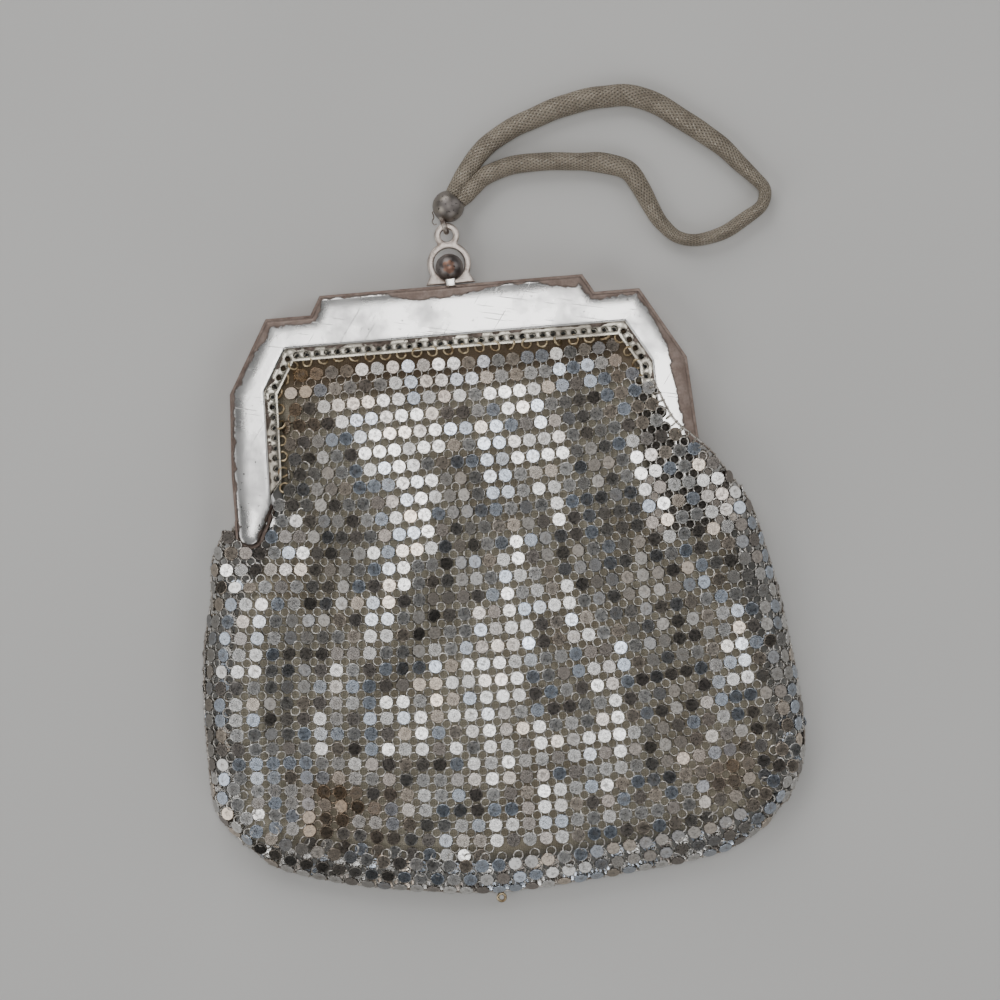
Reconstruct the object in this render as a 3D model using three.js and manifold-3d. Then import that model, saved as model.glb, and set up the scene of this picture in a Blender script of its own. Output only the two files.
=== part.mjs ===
// A metal mesh purse lying on its back: a stepped two-jaw frame, a bag of disc mesh with its lining,
// and a knitted strap on a bead. Millimetres. x runs to the right, y up towards the clasp, and z up
// off the surface. While it is drawn, y is 0 at the upper edge of the front jaw's top bar.
import * as THREE from 'three';
import { mergeVertices } from 'three/addons/utils/BufferGeometryUtils.js';
import Module from 'manifold-3d';

const wasm = await Module();
wasm.setup();

// Clearance between pieces that touch
const gap = 0.3;

// Frame outline
const barHalf = 29.2;
const stepOut = 2.4;
const stepDrop = 4.2;
const shoulderHalf = 41.7;
const kneeHalf = 50.8;
const kneeDrop = 19.9;
const armFlare = 1.1;
const flareDrop = 38;
const armDrop = 53.9;
const tipRadius = 2.4;
const tipSlopeRise = 8.4;

// Frame sections
const barFace = 10.8;
const armFace = 7.9;
const kneeFace = 7.4;
const cornerHalf = 38.1;
const jawDepth = 4.4;
const faceSheet = 1.0;
const rimSheet = 1.0;
const edgeChamfer = 0.4;
const backOverhang = 0.8;

// Pierced strip along the inner edge of each jaw
const stripWidth = 2.9;
const stripSheet = 0.7;
const stripStep = 0.6;
const stripTuck = 0.4;
const stripEndDrop = 43;
const stripTaper = 3.5;
const holeBore = 1.0;
const holePitch = 2.5;
const holeSides = 6;

// Rivets at the ends of the arms
const pinDrop = 50.2;
const pinShaft = 1.2;
const pinHead = 2.2;
const pinHeadHeight = 0.6;
const lugSheet = 0.5;
const lugWidth = 4.0;
const lugReach = 2.0;

// Clasp
const plateSheet = 1.0;
const plateLevel = 3.0;
const plateFootWidth = 11.0;
const plateNeckWidth = 9.2;
const plateNeckRise = 2.4;
const bigRingRise = 4.5;
const bigRingOuter = 9.8;
const bigRingBore = 7.0;
const ringSpacing = 6.4;
const smallRingOuter = 5.6;
const smallRingBore = 2.9;
const ballWidth = 5.8;
const ballLift = 0.7;
const tabWidth = 2.5;
const tabSheet = 1.0;

// Ring row that hangs the mesh from each strip
const lacingWire = 0.9;

// Mesh bag
const bagHalf = 67.25;
const sideDrop = 106.1;
const bottomSag = 15.1;
const bagThick = 11.8;
const edgeRoll = 8;
const meshWall = 1.0;
const mouthReach = 2.0;
const hollowEdge = 0.3;
const hollowLeast = 0.1;
const frameClear = 0.4;
const meshRows = 21;
const meshColumns = 19;
const rowCrowding = 1.25;
const sideCrowding = 0.6;

// Lining
const liningWall = 1.0;
const liningEase = 0.3;
const liningTopInset = 6;
const liningSideInset = 7;
const liningRoll = 5;
const liningRows = 12;
const liningColumns = 11;

// Strap with its bead and link
const strapWidth = 4.2;
const strapEndWidth = 2.0;
const strapEndTaper = 9;
const strapSides = 8;
const strapSteps = 46;
const beadWidth = 7.0;
const beadRise = 18.5;
const beadAside = 0.9;
const beadAxis = THREE.MathUtils.degToRad(45);
const socketDepth = 3.0;
const linkDepth = 2.2;
const linkWire = 1.0;
const linkSlack = 0.2;
const linkTurns = 8;
const linkSteps = 20;
const linkSides = 6;
const tinyRing = 2.4;
const tinyRingWire = 0.7;

// Values worked out from those above
const frameDepth = 2 * jawDepth + gap;
const armHalf = kneeHalf + armFlare;
const lipInset = stripWidth + gap + lacingWire + gap;
const meshTop = -(barFace + lipInset) + gap;
const lipHalf = armHalf - armFace - lipInset + gap;
const bagDrop = sideDrop + bottomSag;
const foldClear = frameDepth + gap;
const openClear = 3 * frameDepth;

// The bag's left and right edges. at: share of sideDrop. reach: share of bagHalf. roll: share of
// edgeRoll. top, low: the edge's upper and lower height, shares of frameDepth.
const leftEdge = [
  { at: 0, reach: 0.535, roll: 0.5, top: 0.93, low: 0.035 },
  { at: 0.055, reach: 0.586, roll: 0.6, top: 0.93, low: 0.035 },
  { at: 0.28, reach: 0.595, roll: 0.6, top: 0.93, low: 0.035 },
  { at: 0.315, reach: 0.797, roll: 0.4, top: 0.6, low: 0.37 },
  { at: 0.367, reach: 0.851, roll: 0.5, top: 0.55, low: 0.32 },
  { at: 0.4, reach: 0.874, roll: 0.6, top: 0.5, low: 0.28 },
  { at: 0.471, reach: 0.885, roll: 0.8, top: 0.42, low: 0.2 },
  { at: 0.575, reach: 0.922, roll: 1, top: 0.37, low: 0.15 },
  { at: 0.745, reach: 0.941, roll: 1, top: 0.33, low: 0.11 },
  { at: 0.858, reach: 0.94, roll: 1, top: 0.33, low: 0.11 },
  { at: 0.915, reach: 0.931, roll: 1, top: 0.33, low: 0.11 },
  { at: 0.962, reach: 0.892, roll: 1, top: 0.33, low: 0.11 },
  { at: 1, reach: 0.848, roll: 1, top: 0.33, low: 0.11 },
];
const rightEdge = [
  { at: 0, reach: 0.535, roll: 0.5, top: 0.93, low: 0.035 },
  { at: 0.055, reach: 0.592, roll: 0.5, top: 1.0, low: 0.2 },
  { at: 0.087, reach: 0.639, roll: 0.3, top: 1.24, low: 1.04 },
  { at: 0.174, reach: 0.702, roll: 0.3, top: 1.24, low: 1.04 },
  { at: 0.218, reach: 0.767, roll: 0.3, top: 1.24, low: 1.04 },
  { at: 0.253, reach: 0.822, roll: 0.4, top: 1.12, low: 0.88 },
  { at: 0.291, reach: 0.862, roll: 0.45, top: 0.95, low: 0.72 },
  { at: 0.329, reach: 0.904, roll: 0.5, top: 0.81, low: 0.59 },
  { at: 0.367, reach: 0.937, roll: 0.6, top: 0.68, low: 0.46 },
  { at: 0.423, reach: 0.962, roll: 0.75, top: 0.55, low: 0.33 },
  { at: 0.518, reach: 0.996, roll: 0.9, top: 0.44, low: 0.22 },
  { at: 0.631, reach: 1.025, roll: 1, top: 0.35, low: 0.13 },
  { at: 0.745, reach: 1.047, roll: 1, top: 0.33, low: 0.11 },
  { at: 0.858, reach: 1.056, roll: 1, top: 0.33, low: 0.11 },
  { at: 0.915, reach: 1.044, roll: 1, top: 0.33, low: 0.11 },
  { at: 0.962, reach: 1.016, roll: 1, top: 0.33, low: 0.11 },
  { at: 1, reach: 0.986, roll: 1, top: 0.33, low: 0.11 },
];

// The bag's rows. at: share of sideDrop. sag: share of the bottom's sag. height: share of bagThick.
// rest: height of the back above the surface, a share of frameDepth.
const bagRows = [
  { at: 0, sag: 0, height: 0.69, rest: 0.035 },
  { at: 0.1, sag: 0, height: 0.79, rest: 0.03 },
  { at: 0.25, sag: 0.01, height: 0.88, rest: 0.015 },
  { at: 0.4, sag: 0.04, height: 0.93, rest: 0 },
  { at: 0.6, sag: 0.16, height: 0.93, rest: 0 },
  { at: 0.8, sag: 0.5, height: 0.86, rest: 0 },
  { at: 0.93, sag: 0.84, height: 0.76, rest: 0 },
  { at: 1, sag: 1, height: 0.66, rest: 0 },
];

// The bag's bottom edge. across: share of the way from left to right. sag: share of bottomSag.
const bottomEdge = [
  { across: 0, sag: 0 },
  { across: 0.05, sag: 0.33 },
  { across: 0.14, sag: 0.6 },
  { across: 0.3, sag: 0.87 },
  { across: 0.46, sag: 1 },
  { across: 0.7, sag: 0.87 },
  { across: 0.86, sag: 0.7 },
  { across: 0.95, sag: 0.37 },
  { across: 1, sag: 0 },
];

// Folds of the front. from, to: where each begins and ends, shares of bagDrop. first, middle, last:
// its crest's place across there and halfway, and width: shares of bagHalf. rise: share of bagThick.
const folds = [
  { from: 0.3, to: 0.78, first: -0.65, middle: -0.79, last: -0.77, width: 0.074, rise: 0.11 },
  { from: 0.05, to: 0.74, first: -0.52, middle: -0.55, last: -0.7, width: 0.08, rise: -0.13 },
  { from: 0.02, to: 0.72, first: -0.42, middle: -0.28, last: -0.51, width: 0.11, rise: 0.14 },
  { from: 0.16, to: 0.64, first: -0.14, middle: -0.09, last: -0.21, width: 0.08, rise: -0.11 },
  { from: 0.02, to: 0.72, first: 0.19, middle: 0.06, last: 0.36, width: 0.075, rise: 0.12 },
  { from: 0.02, to: 0.8, first: 0.4, middle: 0.3, last: 0.52, width: 0.085, rise: -0.14 },
  { from: 0.04, to: 0.76, first: 0.54, middle: 0.64, last: 0.74, width: 0.11, rise: 0.17 },
  { from: 0.36, to: 0.82, first: 0.77, middle: 0.86, last: 0.83, width: 0.07, rise: -0.09 },
  { from: 0.66, to: 0.86, first: -0.7, middle: -0.68, last: -0.64, width: 0.1, rise: -0.13 },
  { from: 0.21, to: 0.42, first: -0.76, middle: -0.75, last: -0.72, width: 0.13, rise: -0.34 },
  { from: 0.72, to: 0.92, first: 0.9, middle: 0.74, last: 0.56, width: 0.06, rise: -0.08 },
];

// The strap's route, by hand, from the bead out along the upper strand and back: x, y, z.
const strapRoute = [
  [0.7, 19.9, 3.5], [2.6, 21.8, 3.4], [5.0, 25.2, 2.9], [7.6, 28.6, 2.5],
  [10.8, 31.5, 2.3], [15.2, 34.3, 2.2], [20.2, 36.4, 2.2], [26.1, 38.3, 2.2],
  [32.0, 39.7, 2.2], [37.8, 40.4, 2.2], [42.6, 40.3, 2.2], [47.6, 38.8, 2.2],
  [52.6, 35.6, 2.2], [57.6, 31.9, 2.2], [62.6, 27.8, 2.2], [66.4, 23.6, 2.2],
  [70.0, 19.6, 2.2], [72.3, 16.6, 2.2], [71.6, 13.4, 2.2], [67.4, 10.4, 2.2],
  [61.6, 7.4, 2.2], [56.0, 6.4, 2.2], [51.6, 7.6, 2.2], [48.6, 10.8, 2.2],
  [46.2, 15.2, 2.2], [44.3, 19.6, 2.2], [41.9, 23.2, 2.2], [37.8, 25.2, 2.2],
  [31.6, 26.0, 2.2], [25.0, 26.0, 2.2], [18.6, 25.6, 2.2], [13.4, 24.2, 2.3],
  [9.0, 22.1, 2.7], [6.2, 20.9, 3.2], [4.2, 20.0, 3.4], [2.4, 18.3, 3.5],
];

// A smooth line through a table's values that never overshoots them
function curve(table, input, output) {
  const slopes = table.slice(1).map((row, i) => {
    return (row[output] - table[i][output]) / (row[input] - table[i][input]);
  });
  const tangent = (i) => {
    if (i === 0 || i === slopes.length || slopes[i - 1] * slopes[i] <= 0) return 0;
    return (2 * slopes[i - 1] * slopes[i]) / (slopes[i - 1] + slopes[i]);
  };
  return (value) => {
    const last = table.length - 1;
    const clamped = THREE.MathUtils.clamp(value, table[0][input], table[last][input]);
    let i = 0;
    while (i < last - 1 && clamped > table[i + 1][input]) i += 1;
    const span = table[i + 1][input] - table[i][input];
    const t = (clamped - table[i][input]) / span;
    const rise = t * t * (3 - 2 * t);
    const ends = THREE.MathUtils.lerp(table[i][output], table[i + 1][output], rise);
    return ends + span * t * (1 - t) * ((1 - t) * tangent(i) - t * tangent(i + 1));
  };
}

// Solids and meshes
function solidOf(geometry) {
  const bare = geometry.index ? geometry.toNonIndexed() : geometry.clone();
  bare.deleteAttribute('normal');
  bare.deleteAttribute('uv');
  const merged = mergeVertices(bare, 1e-4);
  return new wasm.Manifold(new wasm.Mesh({
    numProp: 3,
    vertProperties: new Float32Array(merged.attributes.position.array),
    triVerts: new Uint32Array(merged.index.array),
  }));
}

function geometryOf(solid) {
  const mesh = solid.getMesh();
  const geometry = new THREE.BufferGeometry();
  geometry.setAttribute('position', new THREE.BufferAttribute(new Float32Array(mesh.vertProperties), 3));
  geometry.setIndex(new THREE.BufferAttribute(new Uint32Array(mesh.triVerts), 1));
  geometry.computeVertexNormals();
  return geometry;
}

function joined(solids) {
  return solids.reduce((whole, solid) => whole.add(solid));
}

function slab(shape, low, high, chamfer = 0) {
  const geometry = new THREE.ExtrudeGeometry(shape, {
    depth: high - low - 2 * chamfer,
    bevelEnabled: chamfer > 0,
    bevelThickness: chamfer,
    bevelSize: chamfer,
    bevelOffset: -chamfer,
    bevelSegments: 1,
    curveSegments: 10,
  });
  geometry.translate(0, 0, low + chamfer);
  return solidOf(geometry);
}

function disc(x, y, width, low, high) {
  const shape = new THREE.Shape();
  shape.absarc(x, y, width / 2, 0, 2 * Math.PI);
  return slab(shape, low, high);
}

function box(x, y, z, width, depth, height) {
  const geometry = new THREE.BoxGeometry(width, depth, height);
  geometry.translate(x, y, z);
  return solidOf(geometry);
}

function crossBar(x, y, z, length, width) {
  const geometry = new THREE.CylinderGeometry(width / 2, width / 2, length, 12);
  geometry.rotateZ(Math.PI / 2);
  geometry.translate(x, y, z);
  return solidOf(geometry);
}

// Lines in the plane. Each runs from the right arm over the top to the left arm, so that a positive
// offset moves it in towards the bag.
function mirrored(half) {
  const left = half.map((point) => new THREE.Vector2(-point.x, point.y));
  return [...half].reverse().concat(left);
}

function offset(line, distance) {
  return line.map((point, i) => {
    const before = line[Math.max(i - 1, 0)];
    const after = line[Math.min(i + 1, line.length - 1)];
    const into = point.clone().sub(before).normalize();
    const out = after.clone().sub(point).normalize();
    const first = i === 0 ? out : into;
    const second = i === line.length - 1 ? into : out;
    const normal = new THREE.Vector2(-first.y - second.y, first.x + second.x).normalize();
    const stretch = normal.x * -first.y + normal.y * first.x;
    return point.clone().addScaledVector(normal, distance / stretch);
  });
}

function outerLine() {
  const middle = new THREE.Vector2(armHalf - tipRadius, -(armDrop - tipRadius));
  const slopeTop = new THREE.Vector2(armHalf - armFace, -(armDrop - tipSlopeRise));
  const toSlope = slopeTop.clone().sub(middle);
  const lastAngle = toSlope.angle() + Math.acos(tipRadius / toSlope.length()) - 2 * Math.PI;
  const tipSteps = 7;
  const tip = Array.from({ length: tipSteps + 1 }, (unused, i) => {
    const angle = (lastAngle * i) / tipSteps;
    const spoke = new THREE.Vector2(Math.cos(angle), Math.sin(angle));
    return middle.clone().addScaledVector(spoke, tipRadius);
  });
  return mirrored([
    new THREE.Vector2(barHalf, 0),
    new THREE.Vector2(barHalf + stepOut, -stepDrop),
    new THREE.Vector2(shoulderHalf, -stepDrop),
    new THREE.Vector2(kneeHalf, -kneeDrop),
    new THREE.Vector2(armHalf, -flareDrop),
    ...tip,
    slopeTop,
  ]);
}

function grooveLine() {
  return mirrored([
    new THREE.Vector2(cornerHalf, -barFace),
    new THREE.Vector2(kneeHalf - kneeFace, -kneeDrop),
    new THREE.Vector2(armHalf - armFace, -stripEndDrop),
  ]);
}

function ringPoints(middle, width, sides) {
  return Array.from({ length: sides }, (unused, i) => {
    const angle = (2 * Math.PI * i) / sides;
    const spoke = new THREE.Vector2(Math.cos(angle), Math.sin(angle));
    return middle.clone().addScaledVector(spoke, width / 2);
  });
}

function band(line, from, to) {
  return new THREE.Shape([...offset(line, from), ...offset(line, to).reverse()]);
}

function evenly(line, pitch, endInset) {
  const path = new THREE.CurvePath();
  line.slice(1).forEach((point, i) => path.add(new THREE.LineCurve(line[i], point)));
  const span = path.getLength() - 2 * endInset;
  const count = Math.floor(span / pitch);
  return Array.from({ length: count + 1 }, (unused, i) => {
    return path.getPointAt((endInset + (span * i) / count) / path.getLength());
  });
}

// One jaw: a face, a rim standing off its outer edge towards the other jaw, and the pierced strip
function stripShape() {
  const inner = offset(grooveLine(), stripWidth);
  inner[0].y += stripTaper;
  inner[inner.length - 1].y += stripTaper;
  const shape = new THREE.Shape([...offset(grooveLine(), -stripTuck), ...inner.reverse()]);
  evenly(offset(grooveLine(), stripWidth / 2), holePitch, stripTaper).forEach((middle) => {
    shape.holes.push(new THREE.Path(ringPoints(middle, holeBore, holeSides)));
  });
  return shape;
}

function jaw(overhang, lugOuter, levels) {
  const outline = offset(outerLine(), -overhang);
  const face = new THREE.Shape([...outline, ...grooveLine().reverse()]);
  const [lugLow, lugHigh] = levels(jawDepth - faceSheet, jawDepth + gap / 2 + lugReach);
  const lugs = [-1, 1].map((side) => {
    const middle = side * (lugOuter - lugSheet / 2);
    return box(middle, -pinDrop, (lugLow + lugHigh) / 2, lugSheet, lugWidth, lugHigh - lugLow);
  });
  const whole = joined([
    slab(face, ...levels(0, faceSheet), edgeChamfer),
    slab(band(outline, 0, rimSheet), ...levels(edgeChamfer, jawDepth)),
    slab(stripShape(), ...levels(stripStep, stripStep + stripSheet)),
    ...lugs,
  ]);
  const bore = crossBar(0, -pinDrop, frameDepth / 2, 3 * armHalf, pinShaft + 2 * gap);
  const arms = [-1, 1].map((side) => {
    return box(side * armHalf, -pinDrop, frameDepth / 2, armFace, pinHead, frameDepth);
  });
  return whole.subtract(bore.intersect(joined(arms)));
}

const frontLevels = (from, to) => [frameDepth - to, frameDepth - from];
const backLevels = (from, to) => [from, to];

function hingePin(side) {
  const outer = armHalf + backOverhang + gap + pinHeadHeight;
  const inner = armHalf - rimSheet - gap - pinHeadHeight;
  const profile = [
    new THREE.Vector2(0, 0),
    new THREE.Vector2(pinHead / 2, 0),
    new THREE.Vector2(pinHead / 2, pinHeadHeight),
    new THREE.Vector2(pinShaft / 2, pinHeadHeight),
    new THREE.Vector2(pinShaft / 2, outer - inner - pinHeadHeight),
    new THREE.Vector2(pinHead / 2, outer - inner - pinHeadHeight),
    new THREE.Vector2(pinHead / 4, outer - inner),
    new THREE.Vector2(0, outer - inner),
  ];
  const geometry = new THREE.LatheGeometry(profile, 10);
  geometry.rotateZ(-Math.PI / 2);
  geometry.translate(inner, 0, 0);
  geometry.rotateY(side < 0 ? Math.PI : 0);
  geometry.translate(0, -pinDrop, frameDepth / 2);
  return solidOf(geometry);
}

// Clasp
const plateFoot = backOverhang + gap;
const bigRingY = plateFoot + bigRingRise;
const smallRingY = bigRingY + ringSpacing;

function claspPlate() {
  const high = plateLevel + plateSheet;
  const foot = new THREE.Shape([
    new THREE.Vector2(-plateFootWidth / 2, plateFoot),
    new THREE.Vector2(plateFootWidth / 2, plateFoot),
    new THREE.Vector2(plateNeckWidth / 2, plateFoot + plateNeckRise),
    new THREE.Vector2(-plateNeckWidth / 2, plateFoot + plateNeckRise),
  ]);
  const whole = joined([
    slab(foot, plateLevel, high),
    disc(0, bigRingY, bigRingOuter, plateLevel, high),
    disc(0, smallRingY, smallRingOuter, plateLevel, high),
  ]);
  const underFoot = box(0, 0, plateLevel + plateSheet / 2, plateFootWidth, 2 * plateFoot, 2 * plateSheet);
  return whole
    .subtract(underFoot)
    .subtract(disc(0, bigRingY, bigRingBore, plateLevel - gap, high + gap))
    .subtract(disc(0, smallRingY, smallRingBore, plateLevel - gap, high + gap));
}

function claspBall() {
  const middle = bigRingY - (bigRingBore - ballWidth) / 2 + gap;
  const level = plateLevel + plateSheet + ballLift;
  const ball = new THREE.SphereGeometry(ballWidth / 2, 16, 10);
  ball.rotateX(Math.PI / 2);
  ball.translate(0, middle, level);
  const tabEnd = middle - ballWidth / 4;
  const tab = box(0, (gap + tabEnd) / 2, level + tabSheet, tabWidth, tabEnd - gap, tabSheet);
  return solidOf(ball).add(tab);
}

// Ring rows
function lacing(level) {
  const line = grooveLine();
  const wire = band(line, stripWidth + gap, stripWidth + gap + lacingWire);
  return slab(wire, level - lacingWire / 2, level + lacingWire / 2);
}

// Mesh bag. Its surfaces are worked out over rows and columns: row and across both run from 0 to 1.
const leftReach = curve(leftEdge, 'at', 'reach');
const leftRoll = curve(leftEdge, 'at', 'roll');
const leftTop = curve(leftEdge, 'at', 'top');
const leftLow = curve(leftEdge, 'at', 'low');
const rightReach = curve(rightEdge, 'at', 'reach');
const rightRoll = curve(rightEdge, 'at', 'roll');
const rightTop = curve(rightEdge, 'at', 'top');
const rightLow = curve(rightEdge, 'at', 'low');
const rowSag = curve(bagRows, 'at', 'sag');
const rowHeight = curve(bagRows, 'at', 'height');
const rowRest = curve(bagRows, 'at', 'rest');
const edgeSag = curve(bottomEdge, 'across', 'sag');

function rolled(distance, radius) {
  if (radius <= 0 || distance >= radius) return 1;
  const short = 1 - Math.max(distance, 0) / radius;
  return Math.sqrt(1 - short * short);
}

function foldRise(x, y) {
  const down = (meshTop - y) / bagDrop;
  return folds.reduce((sum, fold) => {
    const along = (down - fold.from) / (fold.to - fold.from);
    if (along <= 0 || along >= 1) return sum;
    const crest = fold.first * (1 - along) * (1 - 2 * along)
      + fold.middle * 4 * along * (1 - along)
      + fold.last * along * (2 * along - 1);
    const aside = (x / bagHalf - crest) / fold.width;
    const fade = Math.min(1, 4 * along, 4 * (1 - along));
    return sum + fold.rise * bagThick * Math.exp(-aside * aside) * fade * fade * (3 - 2 * fade);
  }, 0);
}

function bagPoint(row, across) {
  const left = -leftReach(row) * bagHalf;
  const right = rightReach(row) * bagHalf;
  const x = THREE.MathUtils.lerp(left, right, across);
  const y = meshTop - row * sideDrop - rowSag(row) * edgeSag(across) * bottomSag;
  const toBottom = y - (meshTop - sideDrop - edgeSag(across) * bottomSag);
  return { x, y, toLeft: x - left, toRight: right - x, toBottom };
}

// The outside of the bag at a point of its plan: the height of its front and of its back
function bagHeights(row, point) {
  const full = rolled(point.toLeft, leftRoll(row) * edgeRoll)
    * rolled(point.toRight, rightRoll(row) * edgeRoll)
    * rolled(point.toBottom, edgeRoll);
  const nearLeft = point.toLeft < point.toRight;
  const top = (nearLeft ? leftTop(row) : rightTop(row)) * frameDepth;
  const low = (nearLeft ? leftLow(row) : rightLow(row)) * frameDepth;
  const front = rowHeight(row) * bagThick + foldRise(point.x, point.y);
  const back = rowRest(row) * frameDepth;
  return { top: top + (front - top) * full, low: low + (back - low) * full };
}

// A closed solid between an upper and a lower grid of points with the same plan
function pillow(rows, columns, pointAt) {
  const upper = [];
  const lower = [];
  for (let i = 0; i <= rows; i += 1) {
    const row = 1 - (1 - i / rows) ** rowCrowding;
    for (let j = 0; j <= columns; j += 1) {
      const even = j / columns;
      const eased = (1 - Math.cos(Math.PI * even)) / 2;
      const point = pointAt(row, THREE.MathUtils.lerp(even, eased, sideCrowding));
      upper.push(point.x, point.y, point.top);
      lower.push(point.x, point.y, point.low);
    }
  }
  const width = columns + 1;
  const second = (rows + 1) * width;
  const faces = [];
  for (let i = 0; i < rows; i += 1) {
    for (let j = 0; j < columns; j += 1) {
      const corner = i * width + j;
      faces.push(corner, corner + width, corner + width + 1, corner, corner + width + 1, corner + 1);
      const under = corner + second;
      faces.push(under, under + width + 1, under + width, under, under + 1, under + width + 1);
    }
  }
  const rim = [];
  for (let j = 0; j < columns; j += 1) rim.push(j);
  for (let i = 0; i < rows; i += 1) rim.push(i * width + columns);
  for (let j = columns; j > 0; j -= 1) rim.push(rows * width + j);
  for (let i = rows; i > 0; i -= 1) rim.push(i * width);
  rim.forEach((corner, i) => {
    const next = rim[(i + 1) % rim.length];
    faces.push(corner, next, next + second, corner, next + second, corner + second);
  });
  const geometry = new THREE.BufferGeometry();
  geometry.setAttribute('position', new THREE.Float32BufferAttribute([...upper, ...lower], 3));
  geometry.setIndex(faces);
  return solidOf(geometry);
}

// A hollow's plan at a row: inside the bag's edges, and past the lips of the mouth beside the frame
const mouthRow = (pinDrop + meshTop) / sideDrop;

function hollowPoint(step, across, inset) {
  const row = THREE.MathUtils.lerp(inset.top / sideDrop, 1 - inset.side / sideDrop, step);
  const plan = bagPoint(row, across);
  const inFrame = row < mouthRow;
  const left = inFrame ? -lipHalf - inset.mouth : -leftReach(row) * bagHalf + inset.side;
  const right = inFrame ? lipHalf + inset.mouth : rightReach(row) * bagHalf - inset.side;
  const x = THREE.MathUtils.lerp(left, right, across);
  const toLeft = plan.toLeft + x - plan.x;
  const toRight = plan.toRight - x + plan.x;
  const outside = bagHeights(row, { ...plan, x, toLeft, toRight });
  const lipRoof = rowHeight(0) * bagThick + Math.max(0, lipHalf - Math.abs(x));
  const top = inFrame ? Math.min(outside.top, lipRoof) : outside.top;
  const toSide = inFrame ? inset.roll : Math.min(x - left, right - x);
  const full = rolled(toSide, inset.roll) * rolled(plan.toBottom - inset.side, inset.roll);
  const middle = (top + outside.low) / 2;
  const half = ((top - outside.low) / 2 - inset.wall) * THREE.MathUtils.lerp(hollowEdge, 1, full);
  const shown = Math.max(half - inset.skin, hollowLeast);
  return { x, y: plan.y, top: middle + shown, low: middle - shown };
}

// The space that the frame takes up, with its clearance. The slack bag lies over the right arm and
// stops at its face, and the left arm lies open to view.
function frameSpace(side, high) {
  const half = (line) => {
    const own = line.filter((point) => side * point.x > 0);
    return side > 0 ? own : own.reverse();
  };
  const outer = half(offset(outerLine(), -(backOverhang + frameClear)));
  const inner = half(offset(grooveLine(), lipInset));
  const shape = new THREE.Shape([
    ...outer,
    new THREE.Vector2(-side * gap, outer[outer.length - 1].y),
    new THREE.Vector2(-side * gap, inner[inner.length - 1].y),
    ...inner.reverse(),
  ]);
  const pinEnd = armHalf + backOverhang + pinHeadHeight + 2 * gap;
  const pinRoom = box(
    side * (pinEnd - armFace / 2),
    -pinDrop + lugWidth / 2,
    frameDepth / 2,
    armFace,
    lugWidth + pinHead + 2 * gap,
    frameDepth,
  );
  return slab(shape, -gap, high).add(pinRoom);
}

function frameSpaces() {
  return frameSpace(-1, openClear).add(frameSpace(1, foldClear));
}

const meshInset = {
  wall: meshWall,
  side: meshWall,
  top: -mouthReach,
  mouth: mouthReach,
  roll: edgeRoll / 2,
  skin: 0,
};

function meshBag() {
  const outside = pillow(meshRows, meshColumns, (row, across) => {
    const point = bagPoint(row, across);
    return { ...point, ...bagHeights(row, point) };
  });
  const hollow = pillow(meshRows, meshColumns, (row, across) => hollowPoint(row, across, meshInset));
  return outside.subtract(hollow).subtract(frameSpaces());
}

function lining() {
  const outer = {
    wall: meshWall + gap + liningEase,
    side: liningSideInset,
    top: liningTopInset,
    mouth: -mouthReach,
    roll: liningRoll,
    skin: 0,
  };
  const inner = {
    ...outer,
    side: liningSideInset + liningWall,
    top: liningTopInset - mouthReach,
    mouth: 0,
    skin: liningWall,
  };
  const clear = { ...meshInset, wall: meshWall + gap };
  const room = pillow(meshRows, meshColumns, (row, across) => hollowPoint(row, across, clear));
  const outside = pillow(liningRows, liningColumns, (row, across) => hollowPoint(row, across, outer));
  const hollow = pillow(liningRows, liningColumns, (row, across) => hollowPoint(row, across, inner));
  return outside.intersect(room).subtract(hollow).subtract(frameSpaces());
}

// Strap, bead and link
const beadPlace = new THREE.Vector3(beadAside, beadRise, beadWidth / 2);
const linkPlace = new THREE.Vector3(0, beadRise, plateLevel + plateSheet / 2);

function strap() {
  const route = new THREE.CatmullRomCurve3(strapRoute.map((point) => new THREE.Vector3(...point)));
  route.curveType = 'centripetal';
  const section = new THREE.Shape(ringPoints(new THREE.Vector2(), strapWidth, strapSides));
  const geometry = new THREE.ExtrudeGeometry(section, { steps: strapSteps, extrudePath: route });
  const rings = route.getSpacedPoints(strapSteps);
  const length = route.getLength();
  const position = geometry.attributes.position;
  const vertex = new THREE.Vector3();
  for (let i = 0; i < position.count; i += 1) {
    vertex.fromBufferAttribute(position, i);
    const distances = rings.map((ring) => ring.distanceTo(vertex));
    const nearest = distances.indexOf(Math.min(...distances));
    const along = (length * nearest) / strapSteps;
    const fromEnd = Math.min(along, length - along);
    const share = THREE.MathUtils.smoothstep(fromEnd, socketDepth, strapEndTaper);
    const width = THREE.MathUtils.lerp(strapEndWidth / strapWidth, 1, share);
    vertex.sub(rings[nearest]).multiplyScalar(width).add(rings[nearest]);
    position.setXYZ(i, vertex.x, vertex.y, vertex.z);
  }
  return geometry;
}

function bore(width, from, to, angle, place) {
  const geometry = new THREE.CylinderGeometry(width / 2, width / 2, to - from, 14);
  geometry.translate(0, (from + to) / 2, 0);
  geometry.rotateZ(angle - Math.PI / 2);
  geometry.translate(...place);
  return solidOf(geometry);
}

const linkHalf = plateSheet / 2 + linkSlack + linkWire / 2;

function strapBead() {
  const ball = new THREE.SphereGeometry(beadWidth / 2, 16, 12);
  ball.translate(...beadPlace);
  const socket = 2 * strapEndWidth + 3 * gap;
  const linkBore = 2 * linkHalf + linkWire + gap;
  return solidOf(ball)
    .subtract(bore(socket, beadWidth / 2 - socketDepth, beadWidth, beadAxis, beadPlace))
    .subtract(bore(linkBore, beadWidth / 2 - linkDepth, beadWidth, -Math.PI / 2, linkPlace));
}

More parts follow.
